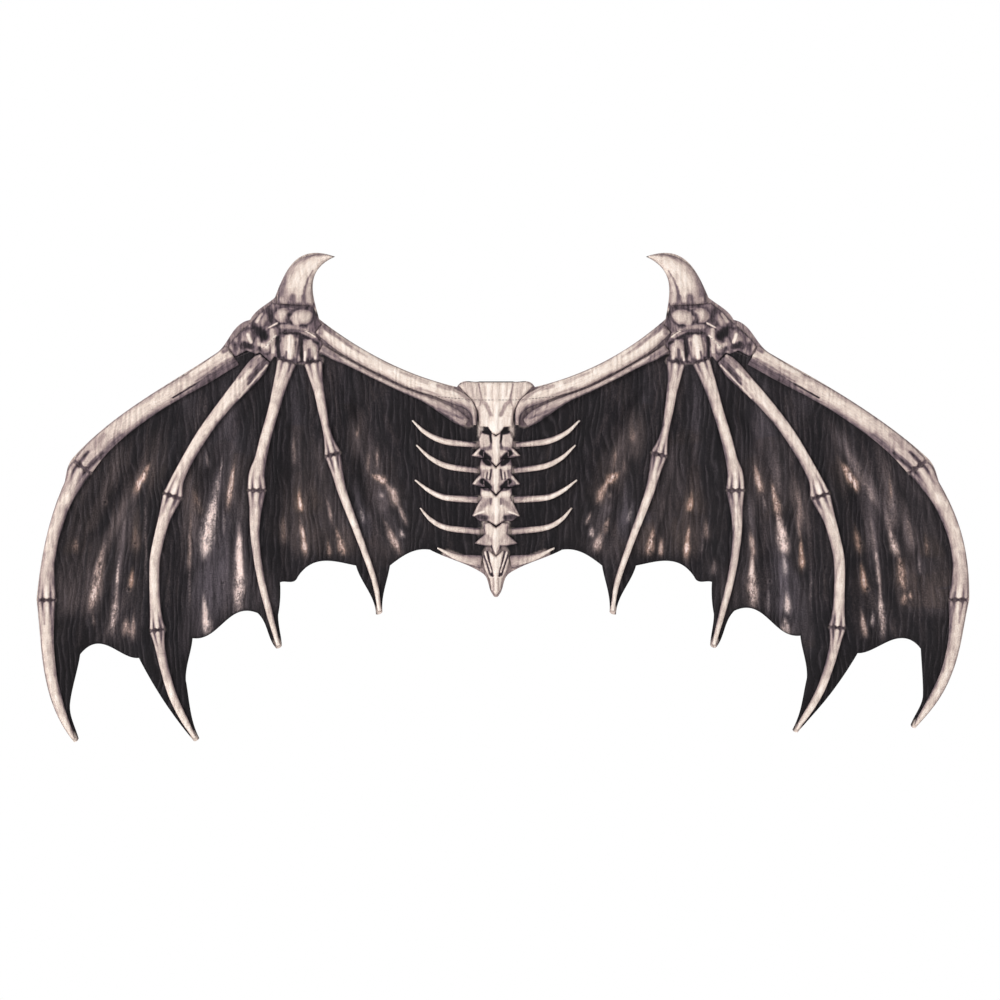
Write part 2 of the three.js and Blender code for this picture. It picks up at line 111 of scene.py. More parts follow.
# A streak's widths, ends, middle and halo; a band's ends; a worn spot's ring; shade beside things
STREAK = SimpleNamespace(
    narrow=0.55, widening=0.7, widens=(-0.1, 0.8), starts=(-0.25, 0.5), ends=(0.72, 1.2),
    core_fall=1.2, halo=0.16, halo_fall=0.5,
)
BAND = SimpleNamespace(starts=(-0.4, 0.4), ends=(0.7, 1.3), wobble=2, warmth=0.4)
SPOT = SimpleNamespace(light=0.26, ring=1.7, ink=(0.6, 1.3))
SHADE = SimpleNamespace(
    bone=0.45, bone_fade=(0, 6), edge=0.35, edge_fade=(2, 12), low=0.9, low_fade=(262, 285),
    spine=0.26, spine_fade=(70, 120),
)
PATCH_LOW = 0.7
CLOUD_FADE = (0.5, 0.95)
INK_FADE = (0.8, 2.4)

# Bone print on the cloth: its reach from the edge, where it fades beside a bone, and the wrist's corner
RIM_PRINT = SimpleNamespace(edge=6, aside=(0.3, 0.6), fade=(3, 7), wrist_out=(225, 232), wrist_up=(34, 44))
SIDES = (("left", -1), ("right", 1))


def table(columns, *rows):
    names = columns.split()
    return [SimpleNamespace(**dict(zip(names, row))) for row in rows]


def mark_table(*rows):
    """Drawn strokes: where each runs, its half width and its tone."""
    return table("out up to_out to_up half tone", *rows)


# Edge of one wing from the top centre outwards and round to the tail
EDGE = table(
    "out up bow_a bow_b",
    (18, 20, 0, 0),
    (42, 14, 2, 4),
    (190, 87, -8.3, -8),
    (173, 154, -12.3, -15.9),
    (237.5, 110, 20, 16),
    (264, 86, 1, 2),
    (299, 51, 4.5, 1.6),
    (453, -62, 4.2, 6.6),
    (462, -88, 2, 1.5),
    (492, -214, 5, 4.5),
    (452, -367, 8.6, 12.4),
    (447.3, -363, 1, 1),
    (456.6, -327, -0.9, -1.7),
    (446, -273, -0.6, 0),
    (383, -277, -12.5, -5),
    (324, -366.5, 2.8, 2.8),
    (318.5, -363, 1, 1),
    (333, -301, -2.6, -1.6),
    (326, -256, -1.1, -0.2),
    (256, -229, 1, -7.5),
    (236, -267, -1.5, 0.5),
    (230, -264, 1, 1),
    (234, -231, 0, -0.5),
    (232, -196, 1, 1),
    (213, -190, 1.5, 3.5),
    (150.5, -178, -11.5, -8.5),
    (129, -230.5, -0.5, -2.6),
    (122, -228, 1, 1),
    (114, -178, -2, -1),
    (71, -161, -4, -5),
    (15.5, -185.5, 0, -1),
    (5, -207, -2.2, -1),
    (0, -212, 0.5, 1),
)

# Pulls on the right wing
LAY = table(
    "out up reach_out reach_up shift_out shift_up",
    (505, -150, 95, 130, 19, 0),
    (185, 150, 110, 90, -12, 0),
    (285, 65, 60, 50, -6, 0),
    (420, -272, 70, 40, 5, 6),
    (290, -235, 50, 40, 0, 4),
    (455, -375, 90, 60, -4, 15),
    (324, -375, 60, 50, 0, 8),
)

# Sections of the long bones: distance out, height and half width
BONES = {
    "forearm_upper": [
        (23, -27, 3), (24, -15, 4), (31, -4, 7), (46, 4, 8.5), (65, 11.5, 8.5), (88, 19, 8.5), (116, 31.5, 8),
        (145, 46.5, 8.5), (170, 62, 8.5), (190, 77, 7),
    ],
    "forearm_lower": [
        (32, -25, 5), (42, -18, 7), (57, -9, 6), (75, 0.5, 3.8), (101, 11, 2.6), (130, 25, 2.6),
        (159, 40, 3.2), (172, 46, 4), (188, 55.3, 4.8),
    ],
    "thumb_claw": [
        (216, 102.5, 19.8), (214.8, 121, 17.4), (209.6, 134, 14.2), (202.4, 143, 11.6), (193, 149.6, 7.8),
        (182, 153.4, 3.4), (176, 153.8, 1.2),
    ],
    "finger_1_base": [
        (282.5, 48, 12.5), (316, 25.5, 10.7), (344, 9.5, 10.3), (373, -8.5, 10.4), (408, -34.7, 10.8),
        (428.8, -54.2, 11.7), (442.5, -71, 12.5),
    ],
    "finger_1_middle": [
        (443.9, -72.8, 12.5), (447.5, -78.2, 12), (453.5, -91.2, 9.6), (461, -107, 8), (469, -128, 7.5),
        (475.5, -151, 7.2), (480, -181, 7.5), (481, -203, 9.4), (481, -213.8, 10.4),
    ],
    "finger_1_tip": [
        (481, -215.4, 10.4), (480.9, -238, 8.3), (480.2, -259, 7.1), (476, -297, 6.4), (466.8, -331.3, 5.6),
        (456.2, -356, 3.4), (452.4, -363.5, 2),
    ],
    "finger_2_base": [
        (248.5, 44.8, 7.5), (256, 36, 10.2), (269, 20.5, 9.6), (290, -4, 7.4), (316, -39, 6.5), (341, -84, 7),
        (346.8, -102.5, 10.5),
    ],
    "finger_2_middle": [
        (347.3, -104, 10.5), (356, -128, 6.5), (362, -151, 5.8), (366, -173, 5.6), (366, -212, 5.6),
        (365, -229, 6.3), (363, -246.2, 8.5),
    ],
    "finger_2_tip": [
        (363, -247.8, 8.5), (361, -262, 5.8), (356, -286, 4.8), (347, -317, 4.5), (334, -344, 3.8),
        (323, -362.8, 2),
    ],
    "finger_3_base": [
        (224.6, 41.2, 10.5), (229, 26, 8.5), (234, 8, 7), (239, -11, 6), (248, -43, 6), (253, -64, 6.5),
        (257, -80, 8.5), (257, -96.4, 10),
    ],
    "finger_3_tip": [
        (257, -98, 9.8), (258, -116, 7), (259, -134, 5.5), (258, -156, 4.5), (252, -194, 4), (243, -230, 3.5),
        (233.8, -263.6, 2.2),
    ],
    "finger_4_base": [
        (196.5, 40.3, 10), (193, 22, 7), (190, 8, 5.5), (187, -8, 5), (181, -37, 4.5), (175.4, -58, 9),
    ],
    "finger_4_tip": [
        (174.9, -59.6, 8.8), (170, -80, 6), (165, -99, 5), (158, -118, 4.5), (142, -161, 3.5), (130, -197, 3),
        (125, -226.4, 2),
    ],
}
RIBS = [
    [(90, -22, 0.9), (76, -35, 2.4), (57, -44, 3.3), (21.5, -48.3, 3)],
    [(85.5, -48.5, 0.9), (70.5, -62.3, 2.3), (53, -71, 3.1), (19.5, -75.8, 3.2)],
    [(87, -86, 0.9), (71, -98, 2.4), (55.5, -104.6, 3.2), (19.5, -107, 3.8)],
    [(81.5, -116, 0.9), (70.5, -128.3, 2.2), (56, -136.5, 3), (17, -141.5, 3.6)],
    [(63, -159, 0.9), (43, -168.5, 3.4), (15.6, -174, 7)],
]

# Shading across a long bone, and blotches along it
BONE_SHADING = SimpleNamespace(edge=0.14, edge_fade=(0.4, 0.95), side=0.24, lift=0.06, line=(0.88, 0.99))
BONE_BLOTCHES = table("length across strength seed", (17, 1.2, 0.2, 0), (5, 0.7, 0.1, 50))

# How each long bone is drawn: height, edge left free, how dark its edge is, tones of its near end, shaft and
# far end, and how strong the knuckle is at each end
LOOKS = table(
    "name rise rim edge tone_near tone tone_far near far",
    ("forearm_upper", RISE.arm, RIM, 0.6, 0.6, 0.2, 0.3, 0, 0),
    ("forearm_lower", RISE.arm, 0, 0.5, 0.5, 0.44, 0.4, 0, 0),
    ("thumb_claw", RISE.claw, RIM, 0.2, 0.32, 0.2, 0.22, 0, 0),
    ("finger_1_base", RISE.finger, RIM, 0.6, 0.45, 0.34, 0.5, 0.3, 1),
    ("finger_1_middle", RISE.finger, RIM, 0.6, 0.5, 0.31, 0.42, 1, 0.9),
    ("finger_1_tip", RISE.finger, RIM, 0.6, 0.44, 0.29, 0.24, 1, 0),
    ("finger_2_base", RISE.finger, 0, 0.75, 0.5, 0.25, 0.38, 0.5, 1),
    ("finger_2_middle", RISE.finger, 0, 0.75, 0.46, 0.26, 0.44, 1, 1),
    ("finger_2_tip", RISE.finger, 0, 0.75, 0.48, 0.26, 0.18, 1, 0),
    ("finger_3_base", RISE.finger, 0, 0.75, 0.44, 0.29, 0.38, 0.8, 1),
    ("finger_3_tip", RISE.finger, 0, 0.75, 0.5, 0.29, 0.22, 1, 0),
    ("finger_4_base", RISE.finger, 0, 0.75, 0.46, 0.3, 0.48, 0.8, 1),
    ("finger_4_tip", RISE.finger, 0, 0.75, 0.54, 0.2, 0.14, 1, 0),
)
RIB_LOOK = SimpleNamespace(
    rise=RISE.rib, rim=0, edge=0.75, tone_near=0.12, tone=0.16, tone_far=0.5, near=0, far=0,
)

WRIST_PAD = [
    (196.5, 99.8), (233, 102.7), (240, 104), (251, 95.5), (263, 83), (277, 70.5), (285, 61.8), (287, 57),
    (280, 46.5), (268, 53), (258, 49.5), (253.4, 50.6), (242.3, 41.1), (238, 46.5), (234.8, 45.3),
    (214.5, 39.4), (210, 42), (206.2, 39.6), (187.2, 43.3), (191.3, 51.6), (186.5, 60.2), (190.3, 66),
    (194.6, 72.8), (188.3, 81), (192, 88), (194, 95),
]
WRIST_PRINT = SimpleNamespace(
    tone=0.62, blotch=0.4, blotch_size=5, ragged=0.3, ragged_size=4, size=0.87, line=(1.1, 1.45),
    body=(0.85, 1.15), rounding=0.24,
)
PAD_EDGE = (-0.6, 1.2)
PAD_PRINT = SimpleNamespace(blotch=0.16, pitch=5, length=9, start=40, edge=(0.2, 1.6), mark_depth=0.45)
CARPALS = table(
    "out up half_long half_wide turn rise tone",
    (250, 87, 9, 5, 130, 3.6, 0.5),
    (267, 67, 9, 6, 120, 3.8, 0.5),
    (243, 64, 13, 6, 118, 4, 0.46),
    (229, 91, 7.5, 7, 0, 4.5, 0.3),
    (209, 89, 11, 7.5, -10, 4.5, 0.24),
    (222, 58, 13, 9, 95, 4.5, 0.26),
    (201, 54, 10, 8.5, 100, 4.2, 0.4),
)

SPINE_TOP = [
    (0, 19), (18, 19), (33, 19.5), (40, 15.5), (33, 8), (24, -2), (19, -12), (18, -28), (9, -30), (5, -35),
    (0, -37.5),
]
TAIL_BONE = [
    (0, -168.5), (7, -162), (13, -162.5), (14, -172), (12, -182), (7, -192), (4.8, -204), (0, -210.5),
]
NECK_INSET = 1
VERTEBRAE = table(
    "top notch waist body neck wing wing_up low tip tone",
    (-33, -39, 15, 18.5, -51, 26.5, -60, -62, -71.5, 0.28),
    (-64, -73, 16, 17.5, -79, 26, -90.5, -93.3, -101.5, 0.44),
    (-95, -103.5, 16.5, 17, -105, 25.5, -124.5, -130, -135, 0.3),
    (-132, -137.5, 13.5, 13, -144, 23, -154, -157, -167.5, 0.26),
)
VERTEBRA_EDGE = 0.6
VERTEBRA_SEED = 33
SPINE_FORM = SimpleNamespace(crown=4.5, ridge_half=4, base=0.3, crown_share=0.48, ridge_share=0.22)
SPINE_PRINT = SimpleNamespace(middle=0.12, side=0.14, side_fade=(6, 26), wing=0.16, wing_from=0.6)

STRAP = SimpleNamespace(
    out=72, width=25, thickness=2, edge_thinning=0.75, edge_power=8, points_across=13,
    spots=((72, -14), (72, -130)), spot_half=40,
)
STRAP_PATH = [
    (0, -24), (0, -8), (7, 3), (30, 9), (62, 2), (86, -24), (95, -70), (86, -118), (62, -143), (30, -153),
    (7, -149), (0, -138), (0, -120),
]

# Light streaks of the membrane's print: where each runs, its half width, how light and how warm it is
LEFT_STREAKS = table(
    "out up to_out to_up half light warm",
    (371, -68, 389, -100, 3.2, 0.85, 0.9),
    (419, -150, 434, -224, 4.4, 0.95, 0.5),
    (404, -168, 407, -200, 1.3, 0.9, 0.2),
    (406, -190, 412, -254, 3.2, 0.75, 0.3),
    (390, -180, 392, -202, 2.4, 0.7, 1),
    (386, -134, 387, -162, 3.6, 0.42, 1),
    (396, -232, 396, -254, 4, 0.66, 0.6),
    (389, -230, 389, -257, 2.4, 0.6, 0.5),
    (450, -148, 451, -164, 2.8, 0.5, 0.9),
    (433, -224, 431, -242, 1.6, 0.4, 0.4),
    (377, -92, 375, -200, 0.9, 0.34, 0.3),
    (301, -92, 313, -166, 6, 1.35, 0.1),
    (297, -76, 302, -108, 2.2, 0.55, 0.2),
    (276, -140, 276, -226, 4.6, 1.3, 0.25),
    (314, -210, 310, -254, 3.6, 1.15, 0.15),
    (281, -68, 288, -116, 2.3, 0.85, 0.7),
    (328, -108, 329, -184, 2, 0.45, 0.6),
    (311, -54, 308, -72, 1.6, 0.4, 0.2),
    (293, -54, 299, -96, 1.4, 0.42, 0.2),
    (326, -94, 316, -124, 3.6, 0.4, 0.9),
    (329, -174, 329, -228, 1.3, 0.45, 0.2),
    (292, -112, 292, -146, 1.5, 0.38, 0.1),
    (212, -96, 210, -120, 2.7, 0.85, 1),
    (211, -126, 205, -166, 2.8, 0.9, 0.7),
    (218, -36, 217, -70, 1.7, 0.45, 0.5),
    (229, -122, 228, -154, 3.6, 0.4, 0.7),
    (172, -138, 164, -166, 3.1, 0.95, 0.8),
    (181, -150, 180, -168, 2, 0.6, 0.8),
    (184, -98, 175, -138, 1.8, 0.4, 0.5),
    (135, -80, 117, -88, 3.4, 0.9, 0.8),
    (120, -84, 105, -114, 4.2, 0.75, 0.5),
    (106, -108, 96, -134, 2.5, 0.62, 0.4),
    (121, -130, 104, -164, 3.3, 0.85, 0.6),
    (104, -138, 99, -149, 2.4, 0.6, 0.1),
    (126, -96, 122, -106, 2.5, 0.55, 0.1),
    (147, -110, 143, -132, 2.3, 0.55, 0),
    (136, -48, 138, -78, 2, 0.48, 0.6),
    (127, -48, 129, -74, 1.9, 0.48, 0.6),
    (147, -24, 149, -40, 1.8, 0.36, 0.8),
)
RIGHT_STREAKS = table(
    "out up to_out to_up half light warm",
    (370, -40, 410, -116, 5, 0.42, 0.3),
    (420, -84, 425, -144, 5.5, 0.38, 0.3),
    (399, -110, 405, -166, 3.6, 0.32, 0.3),
    (438, -112, 448, -160, 4, 0.32, 0.4),
    (299, -58, 305, -110, 5, 0.28, 0.3),
    (321, -84, 329, -136, 4, 0.32, 0.6),
    (370, -66, 389, -97, 4, 0.9, 0.9),
    (421, -78, 424, -108, 1.4, 0.55, 0.9),
    (428, -106, 420, -128, 1.7, 0.4, 0.3),
    (422, -134, 430, -168, 3.1, 1, 0.4),
    (431, -166, 438, -202, 3.7, 1, 0.8),
    (438, -205, 437, -220, 2.4, 0.65, 0.8),
    (444, -204, 445, -214, 2.1, 0.6, 0.8),
    (405, -138, 411, -200, 2, 0.55, 0.3),
    (411, -194, 416, -252, 2.8, 0.9, 0.3),
    (385, -134, 391, -166, 3.1, 0.6, 1),
    (392, -174, 396, -205, 2.8, 0.85, 1),
    (392, -226, 396, -254, 3.1, 0.75, 0.6),
    (404, -226, 403, -244, 1.9, 0.6, 0.1),
    (453, -166, 455, -186, 1.9, 0.45, 0.2),
    (460, -146, 463, -166, 2.4, 0.5, 0.9),
    (277, -68, 285, -100, 3.1, 0.75, 0.7),
    (285, -98, 290, -118, 1.8, 0.4, 0.3),
    (297, -88, 304, -124, 3.8, 0.85, 0.9),
    (302, -118, 310, -164, 4.7, 1.3, 0.4),
    (309, -156, 311, -190, 3.1, 0.5, 0),
    (273, -138, 277, -170, 2.4, 0.6, 0.7),
    (275, -164, 276, -222, 4.5, 1.25, 0.4),
    (271, -105, 274, -140, 1.2, 0.3, 0),
    (322, -118, 327, -150, 1.9, 0.35, 0.6),
    (327, -148, 328, -182, 2.4, 0.7, 1),
    (338, -160, 337, -226, 1.4, 0.3, 0.2),
    (312, -204, 313, -230, 3.5, 0.85, 0.1),
    (310, -234, 312, -256, 4.2, 1.1, 0.2),
    (293, -195, 293, -230, 1.5, 0.32, 0),
    (210, -98, 208, -120, 3.1, 0.8, 1),
    (208, -134, 204, -170, 3.1, 0.85, 0.9),
    (225, -128, 226, -150, 3.5, 0.45, 0.6),
    (224, -148, 220, -164, 1.4, 0.35, 0.3),
    (170, -136, 164, -166, 3.5, 1, 0.8),
    (178, -148, 178, -168, 2.4, 0.75, 0.7),
    (236, -170, 234, -188, 3.1, 0.32, 0.4),
    (133, -78, 119, -88, 4.2, 0.95, 1),
    (122, -80, 110, -110, 3.5, 0.85, 0.8),
    (102, -120, 97, -134, 1.9, 0.6, 0.4),
    (104, -134, 102, -148, 2.4, 0.6, 0.2),
    (122, -126, 116, -144, 2.6, 0.75, 0.7),
    (115, -140, 107, -163, 3.8, 0.85, 0.5),
    (124, -95, 122, -106, 2.1, 0.42, 0.4),
    (147, -110, 142, -132, 2.6, 0.5, 0),
    (128, -48, 128, -74, 2.2, 0.42, 0.8),
    (137, -60, 138, -78, 1.8, 0.36, 0.6),
    (146, -22, 146, -46, 2.8, 0.32, 0.8),
)
# Soft wide bands under the streaks
LEFT_BANDS = table(
    "out up to_out to_up half level warm",
    (369, -54, 421, -160, 6.5, 0.7, 0.6),
    (405, -66, 444, -150, 7.5, 0.5, 0.6),
    (393, -106, 408, -200, 5, 0.6, 0.4),
    (446, -150, 449, -205, 3.5, 0.35, 0.5),
    (385, -120, 387, -170, 4, 0.45, 0.9),
    (303, -150, 307, -224, 17, 0.7, 0),
    (327, -84, 324, -150, 8, 0.6, 0.6),
    (298, -76, 310, -140, 10, 0.5, 0.2),
    (278, -110, 276, -200, 6, 0.4, 0.3),
    (225, -90, 226, -160, 5, 0.25, 0.6),
    (208, -100, 206, -165, 5, 0.24, 0.7),
    (178, -95, 168, -160, 6, 0.24, 0.5),
    (134, -50, 122, -128, 10, 0.6, 0.4),
    (118, -120, 102, -160, 9, 0.55, 0.2),
    (148, -20, 150, -60, 8, 0.5, 0.5),
    (150, -95, 142, -140, 5, 0.5, 0),
)
RIGHT_BANDS = table(
    "out up to_out to_up half level warm",
    (366, -38, 412, -112, 6.5, 0.94, 0.4),
    (420, -76, 424, -140, 6.5, 0.8, 0.5),
    (398, -100, 407, -170, 5, 0.72, 0.3),
    (434, -108, 448, -165, 5, 0.72, 0.5),
    (300, -60, 306, -112, 7, 0.59, 0.4),
    (320, -84, 328, -136, 6, 0.65, 0.6),
    (306, -150, 311, -230, 9, 0.72, 0),
    (276, -110, 275, -200, 5, 0.52, 0.3),
    (198, -66, 192, -112, 6, 0.39, 0.4),
    (184, -94, 175, -142, 5, 0.45, 0.5),
    (208, -96, 205, -165, 5, 0.29, 0.8),
    (134, -40, 127, -92, 9, 0.65, 0.6),
    (120, -108, 104, -160, 9, 0.72, 0.3),
    (150, -20, 150, -60, 8, 0.59, 0.6),
    (141, -95, 138, -142, 5, 0.52, 0),
)
# Small worn spots with a dark middle
SPOTS = table(
    "out up half",
    (377, -77, 1.3),
    (420, -110, 1.4),
    (425, -176, 1.4),
    (388, -154, 1.2),
    (394, -203, 1.5),
    (294, -197, 1.3),
)

# Bones whose print runs on over the cloth to its outer edge, and the printed ground between the arm's bones
LEADING_BONES = ("forearm_upper", "thumb_claw", "finger_1_base", "finger_1_middle", "finger_1_tip")
GROUND_MARKS = mark_table(
    (30, -22, 52, -6, 7, 0.66),
    (24, -8, 40, -2, 7, 0.6),
    (52, -6, 110, 20, 2.6, 0.62),
    (110, 20, 188, 64, 3, 0.64),
    (36, 17, 70, 18, 6, 0.34),
    (28, 10, 40, 12, 6, 0.6),
    (189, 82, 189, 58, 8, 0.62),
    (196, 101, 236, 104, 3, 0.7),
    (285, 61, 284, 54, 5, 0.6),
    (230, 44, 190, 42, 4, 0.8),
    (0, -168, 0, -212, 14, 0.5),
    (52, -168, 14, -183, 6.5, 0.56),
    (454, -360, 451, -367, 4, 0.3),
    (325, -360, 321.5, -367.5, 4, 0.3),
    (234.5, -260, 233, -267, 4, 0.3),
    (126, -224, 124.5, -230.5, 4, 0.3),
    (17, -25, 16.6, -38, 2.4, 0.3),
    (23, -48.5, 17, -47, 2.6, 0.5),
    (21, -76, 16, -75, 2.6, 0.5),
    (21, -107, 16, -106, 2.8, 0.44),
    (19, -141.5, 12, -141, 2.8, 0.44),
    (12, -129, 12, -135, 2.4, 0.36),
)

KNUCKLE = SimpleNamespace(past=0.8, half=2, inset=1, tone=0.8)

# Soft and ragged edges of the marks, and the tone from which a mark is cut into a bone
MARK = SimpleNamespace(blur=1.5, ragged=0.5, grain=2.2, inside=0.4, outside=1.4, cut_from=0.6)

# Marks drawn over the wrist: dark gaps and light ridges, as strokes with a half width and a tone
WRIST_MARKS = mark_table(
    (253, 73, 248, 68, 5.4, 0.97),
    (244, 95, 241, 84, 3, 0.84),
    (270, 60, 263, 57, 3.4, 0.9),
    (231, 101.5, 198, 98, 1.8, 0.8),
    (195, 96, 192.5, 78, 3, 0.8),
    (235, 81, 227, 78, 2.6, 0.92),
    (258, 89, 262, 80, 2, 0.82),
    (247, 97, 253, 88, 1.6, 0.78),
    (230, 79, 214, 77, 3, 0.5),
    (214, 77, 197, 69, 3.2, 0.52),
    (225, 76, 203, 73, 1, 0.74),
    (231, 71.5, 212, 71.5, 1.6, 0.92),
    (212, 71.5, 192, 61, 1.7, 0.92),
    (235, 67, 233, 46, 2, 0.92),
    (240.5, 75, 239.5, 52, 2.4, 0.3),
    (254, 60, 246, 56.5, 2.4, 0.28),
    (247.5, 57, 236, 69, 0.9, 0.06),
    (244, 77.5, 235, 82.5, 0.9, 0.12),
    (229, 66, 229.5, 48, 1.6, 0.56),
    (221, 68, 221.5, 46, 2.6, 0.1),
    (215, 62, 214, 46, 1.4, 0.62),
    (225, 52, 225.5, 45, 1.2, 0.7),
    (209.5, 68, 208, 42, 2, 0.95),
    (200, 62, 201, 58, 3.2, 0.36),
    (205, 51, 205.5, 43, 1.4, 0.1),
    (200.5, 54, 200, 44, 1.6, 0.72),
    (195, 56, 194, 45, 1.8, 0.2),
    (266.5, 70, 263, 62, 1.8, 0.12),
    (252, 92, 257, 84, 2, 0.34),
    (205, 74.5, 194, 67.5, 0.8, 0.14),
)
CLAW_MARKS = mark_table(
    (218, 110, 218, 104, 4.6, 0.66),
    (196.7, 138.8, 201.5, 130.5, 0.9, 0.56),
    (201.5, 130.5, 205, 121, 1.3, 0.64),
    (205, 121, 206.5, 111, 1.7, 0.66),
    (206.5, 111, 205.5, 102, 2.6, 0.7),
    (233, 104, 200, 102, 2.4, 0.66),
    (230, 108, 226, 104, 2.6, 0.46),
)
FOREARM_UPPER_MARKS = mark_table(
    (190, 84, 188, 72, 3, 0.62),
    (189, 82, 175, 71, 2.6, 0.6),
    (175, 71, 154, 55.5, 1.8, 0.54),
    (154, 55.5, 138, 46.5, 1.1, 0.4),
    (104, 31, 74, 18, 2, 0.32),
    (62, 15, 42, 10, 2.2, 0.42),
    (42, 10, 29, -1, 2, 0.46),
    (84, 13, 60, 5, 1.3, 0.44),
)
FOREARM_LOWER_MARKS = mark_table(
    (189, 56, 168, 44, 3, 0.6),
    (168, 46, 148, 35, 1, 0.28),
    (62, -9, 36, -20, 1.4, 0.66),
    (52, -3, 32, -13, 1.6, 0.62),
)
FINGER_1_MARKS = mark_table(
    (276, 42, 318, 13, 7, 0.74),
    (290, 52, 326, 28, 3.4, 0.2),
    (285, 45, 322, 20, 1.2, 0.62),
    (283, 59, 292, 52, 3, 0.6),
    (347, 2, 322, 17, 0.8, 1),
    (322, 17, 306, 28, 0.7, 0.84),
    (437, -79, 402, -41, 5.5, 0.68),
    (449, -67, 420, -38, 3, 0.46),
    (445, -66, 437, -56, 1.8, 0.84),
    (441, -70, 424, -53, 1.9, 0.32),
    (437, -74, 421, -57, 1.5, 0.86),
    (434, -77, 424, -66, 1.6, 0.44),
)
FINGER_1_TIP_MARKS = mark_table(
    (475.6, -222, 474.6, -252, 1.5, 0.66),
    (474.6, -252, 472, -296, 1.2, 0.58),
    (483.5, -219, 483.5, -240, 1.2, 0.5),
)
FINGER_2_MARKS = mark_table(
    (247, 43, 262, 23, 5.5, 0.74),
    (258, 45, 274, 24, 3, 0.56),
    (264, 32, 290, 0, 2.4, 0.2),
    (246, 37, 276, 2, 1.1, 0.24),
    (250, 38, 266, 17, 1.4, 0.84),
)
SPINE_TOP_MARKS = mark_table(
    (18.5, 17, 15.5, 2, 0.9, 0.56),
    (15.5, 2, 17.5, -6, 0.9, 0.5),
    (28, 15, 24, 4, 2.4, 0.34),
    (12, 16, 11, 5, 1.2, 0.3),
    (4, 18, 3, -18, 0.8, 0.28),
    (15, 0, 9, -8, 2.2, 0.46),
    (11, -4, 5.5, -16, 2.2, 0.5),
    (19, -8, 17.5, -26, 1.6, 0.4),
    (8, 16, 7, 2, 1.4, 0.04),
    (13, -14, 12, -24, 2.6, 0.12),
    (0, -4, 0, -34, 2.6, 0.04),
    (14, -30, 9.5, -30, 1.1, 1.1),
    (9, -30.5, 5.6, -34.5, 1.1, 1.1),
)
VERTEBRA_MARKS = [
    mark_table(
        (5.5, -51.5, 14, -53, 2.4, 0.64),
        (13, -34, 7, -35, 2.5, 1.15),
        (6.2, -36, 5, -46, 1.3, 1.1),
        (5, -46, 6.4, -51, 1.1, 0.76),
        (10.5, -41.5, 11.5, -47, 2.6, 0.32),
        (16.8, -36, 16.8, -44, 1.4, 0.2),
        (15, -57, 8, -63, 3.4, 1.15),
        (13.2, -56, 13.4, -62, 0.6, 0.5),
        (17.5, -42, 17.5, -49, 1.2, 0.16),
        (19, -54, 24.5, -59, 1.8, 0.14),
        (24, -61, 17, -61.5, 0.8, 0.85),
        (0, -38, 0, -56, 3.6, 0.08),
        (0, -56, 0, -69, 1.9, 0.1),
    ),
    mark_table(
        (12, -64.5, 7.5, -69, 2.8, 1.15),
        (8, -73, 14.5, -72.5, 2.4, 0.22),
        (5, -75, 6.5, -85, 1.1, 0.84),
        (9.2, -78, 10, -85, 1, 0.76),
        (13, -76, 13, -82, 1.2, 0.62),
        (7.4, -77, 8.2, -84, 0.8, 0.22),
        (11.4, -78, 12, -84, 0.8, 0.26),
        (14, -87.5, 7, -94, 3.2, 1.15),
        (13.2, -87, 13, -92, 0.6, 0.5),
        (18, -83, 24, -89.5, 1.8, 0.18),
        (23, -92.2, 16, -92.5, 0.9, 0.86),
        (0, -73, 0, -87, 3.2, 0.1),
        (0, -87, 0, -99.5, 1.8, 0.1),
    ),
    mark_table(
        (13, -95, 8, -97.5, 1.8, 0.86),
        (6, -101, 13, -101, 3.2, 0.16),
        (6.5, -108, 13, -113, 3, 0.54),
        (5, -106, 5.6, -112, 1, 0.74),
        (22.5, -125, 11, -126.5, 3.4, 0.84),
        (17.5, -110, 24.5, -123, 1.5, 0.2),
        (24.8, -124.2, 13, -119.8, 1, 0.1),
        (0, -101, 0, -119, 4, 0.1),
        (0, -119, 0, -133, 1.9, 0.1),
    ),
    mark_table(
        (9, -146, 6, -151, 2, 0.44),
        (12.5, -136, 12, -143, 1, 0.5),
        (17, -157, 7, -158.6, 1.5, 1),
        (5, -157, 3.6, -164, 1.1, 0.86),
        (0, -136, 0, -156, 2.6, 0.08),
        (0, -156, 0, -166, 1.5, 0.1),
    ),
]
TAIL_MARKS = mark_table(
    (14.5, -160, 5.6, -188, 1.5, 0.9),
    (9.6, -162, 3.6, -189, 1.3, 0.9),
    (12.4, -163, 5, -185, 0.9, 0.12),
    (0, -170, 0, -191, 1.9, 0.1),
    (3, -192, 2.4, -204, 1, 0.4),
)

BONE_MARKS = {
    "forearm_upper": FOREARM_UPPER_MARKS,
    "forearm_lower": FOREARM_LOWER_MARKS,
    "thumb_claw": CLAW_MARKS,
    "finger_1_base": FINGER_1_MARKS,
    "finger_1_tip": FINGER_1_TIP_MARKS,
    "finger_2_base": FINGER_2_MARKS,
}

# The seam of the channel along the top edge, with its stitches and a place in front of it, in metres
IN_FRONT = -0.2
SEAM = [
    (346, 2), (325, 15), (304, 29), (285, 42), (268, 50), (250, 56), (236, 68), (222, 74), (207, 75),
    (195.5, 70), (184, 60), (172, 51.5), (158, 45), (143, 36), (126, 27), (108.5, 18.5), (91.5, 10.5),
    (71, 5), (40, 1.5), (20, 0), (0, 0),
]
STITCH = SimpleNamespace(
    first=2, pitch=3.6, length=2.7, radius=0.32, sides=6,
    shares=(0, 0.2, 0.5, 0.8, 1), sizes=(0.35, 0.85, 1, 0.85, 0.35),
)


# Helpers for numbers
def smooth(value, low, high):
    share = np.clip((value - low) / (high - low), 0, 1)
    return share * share * (3 - 2 * share)


def hill(value, middle, half):
    """One at a middle, fading out on both sides of it."""
    return np.exp(-(((value - middle) / half) ** 2))


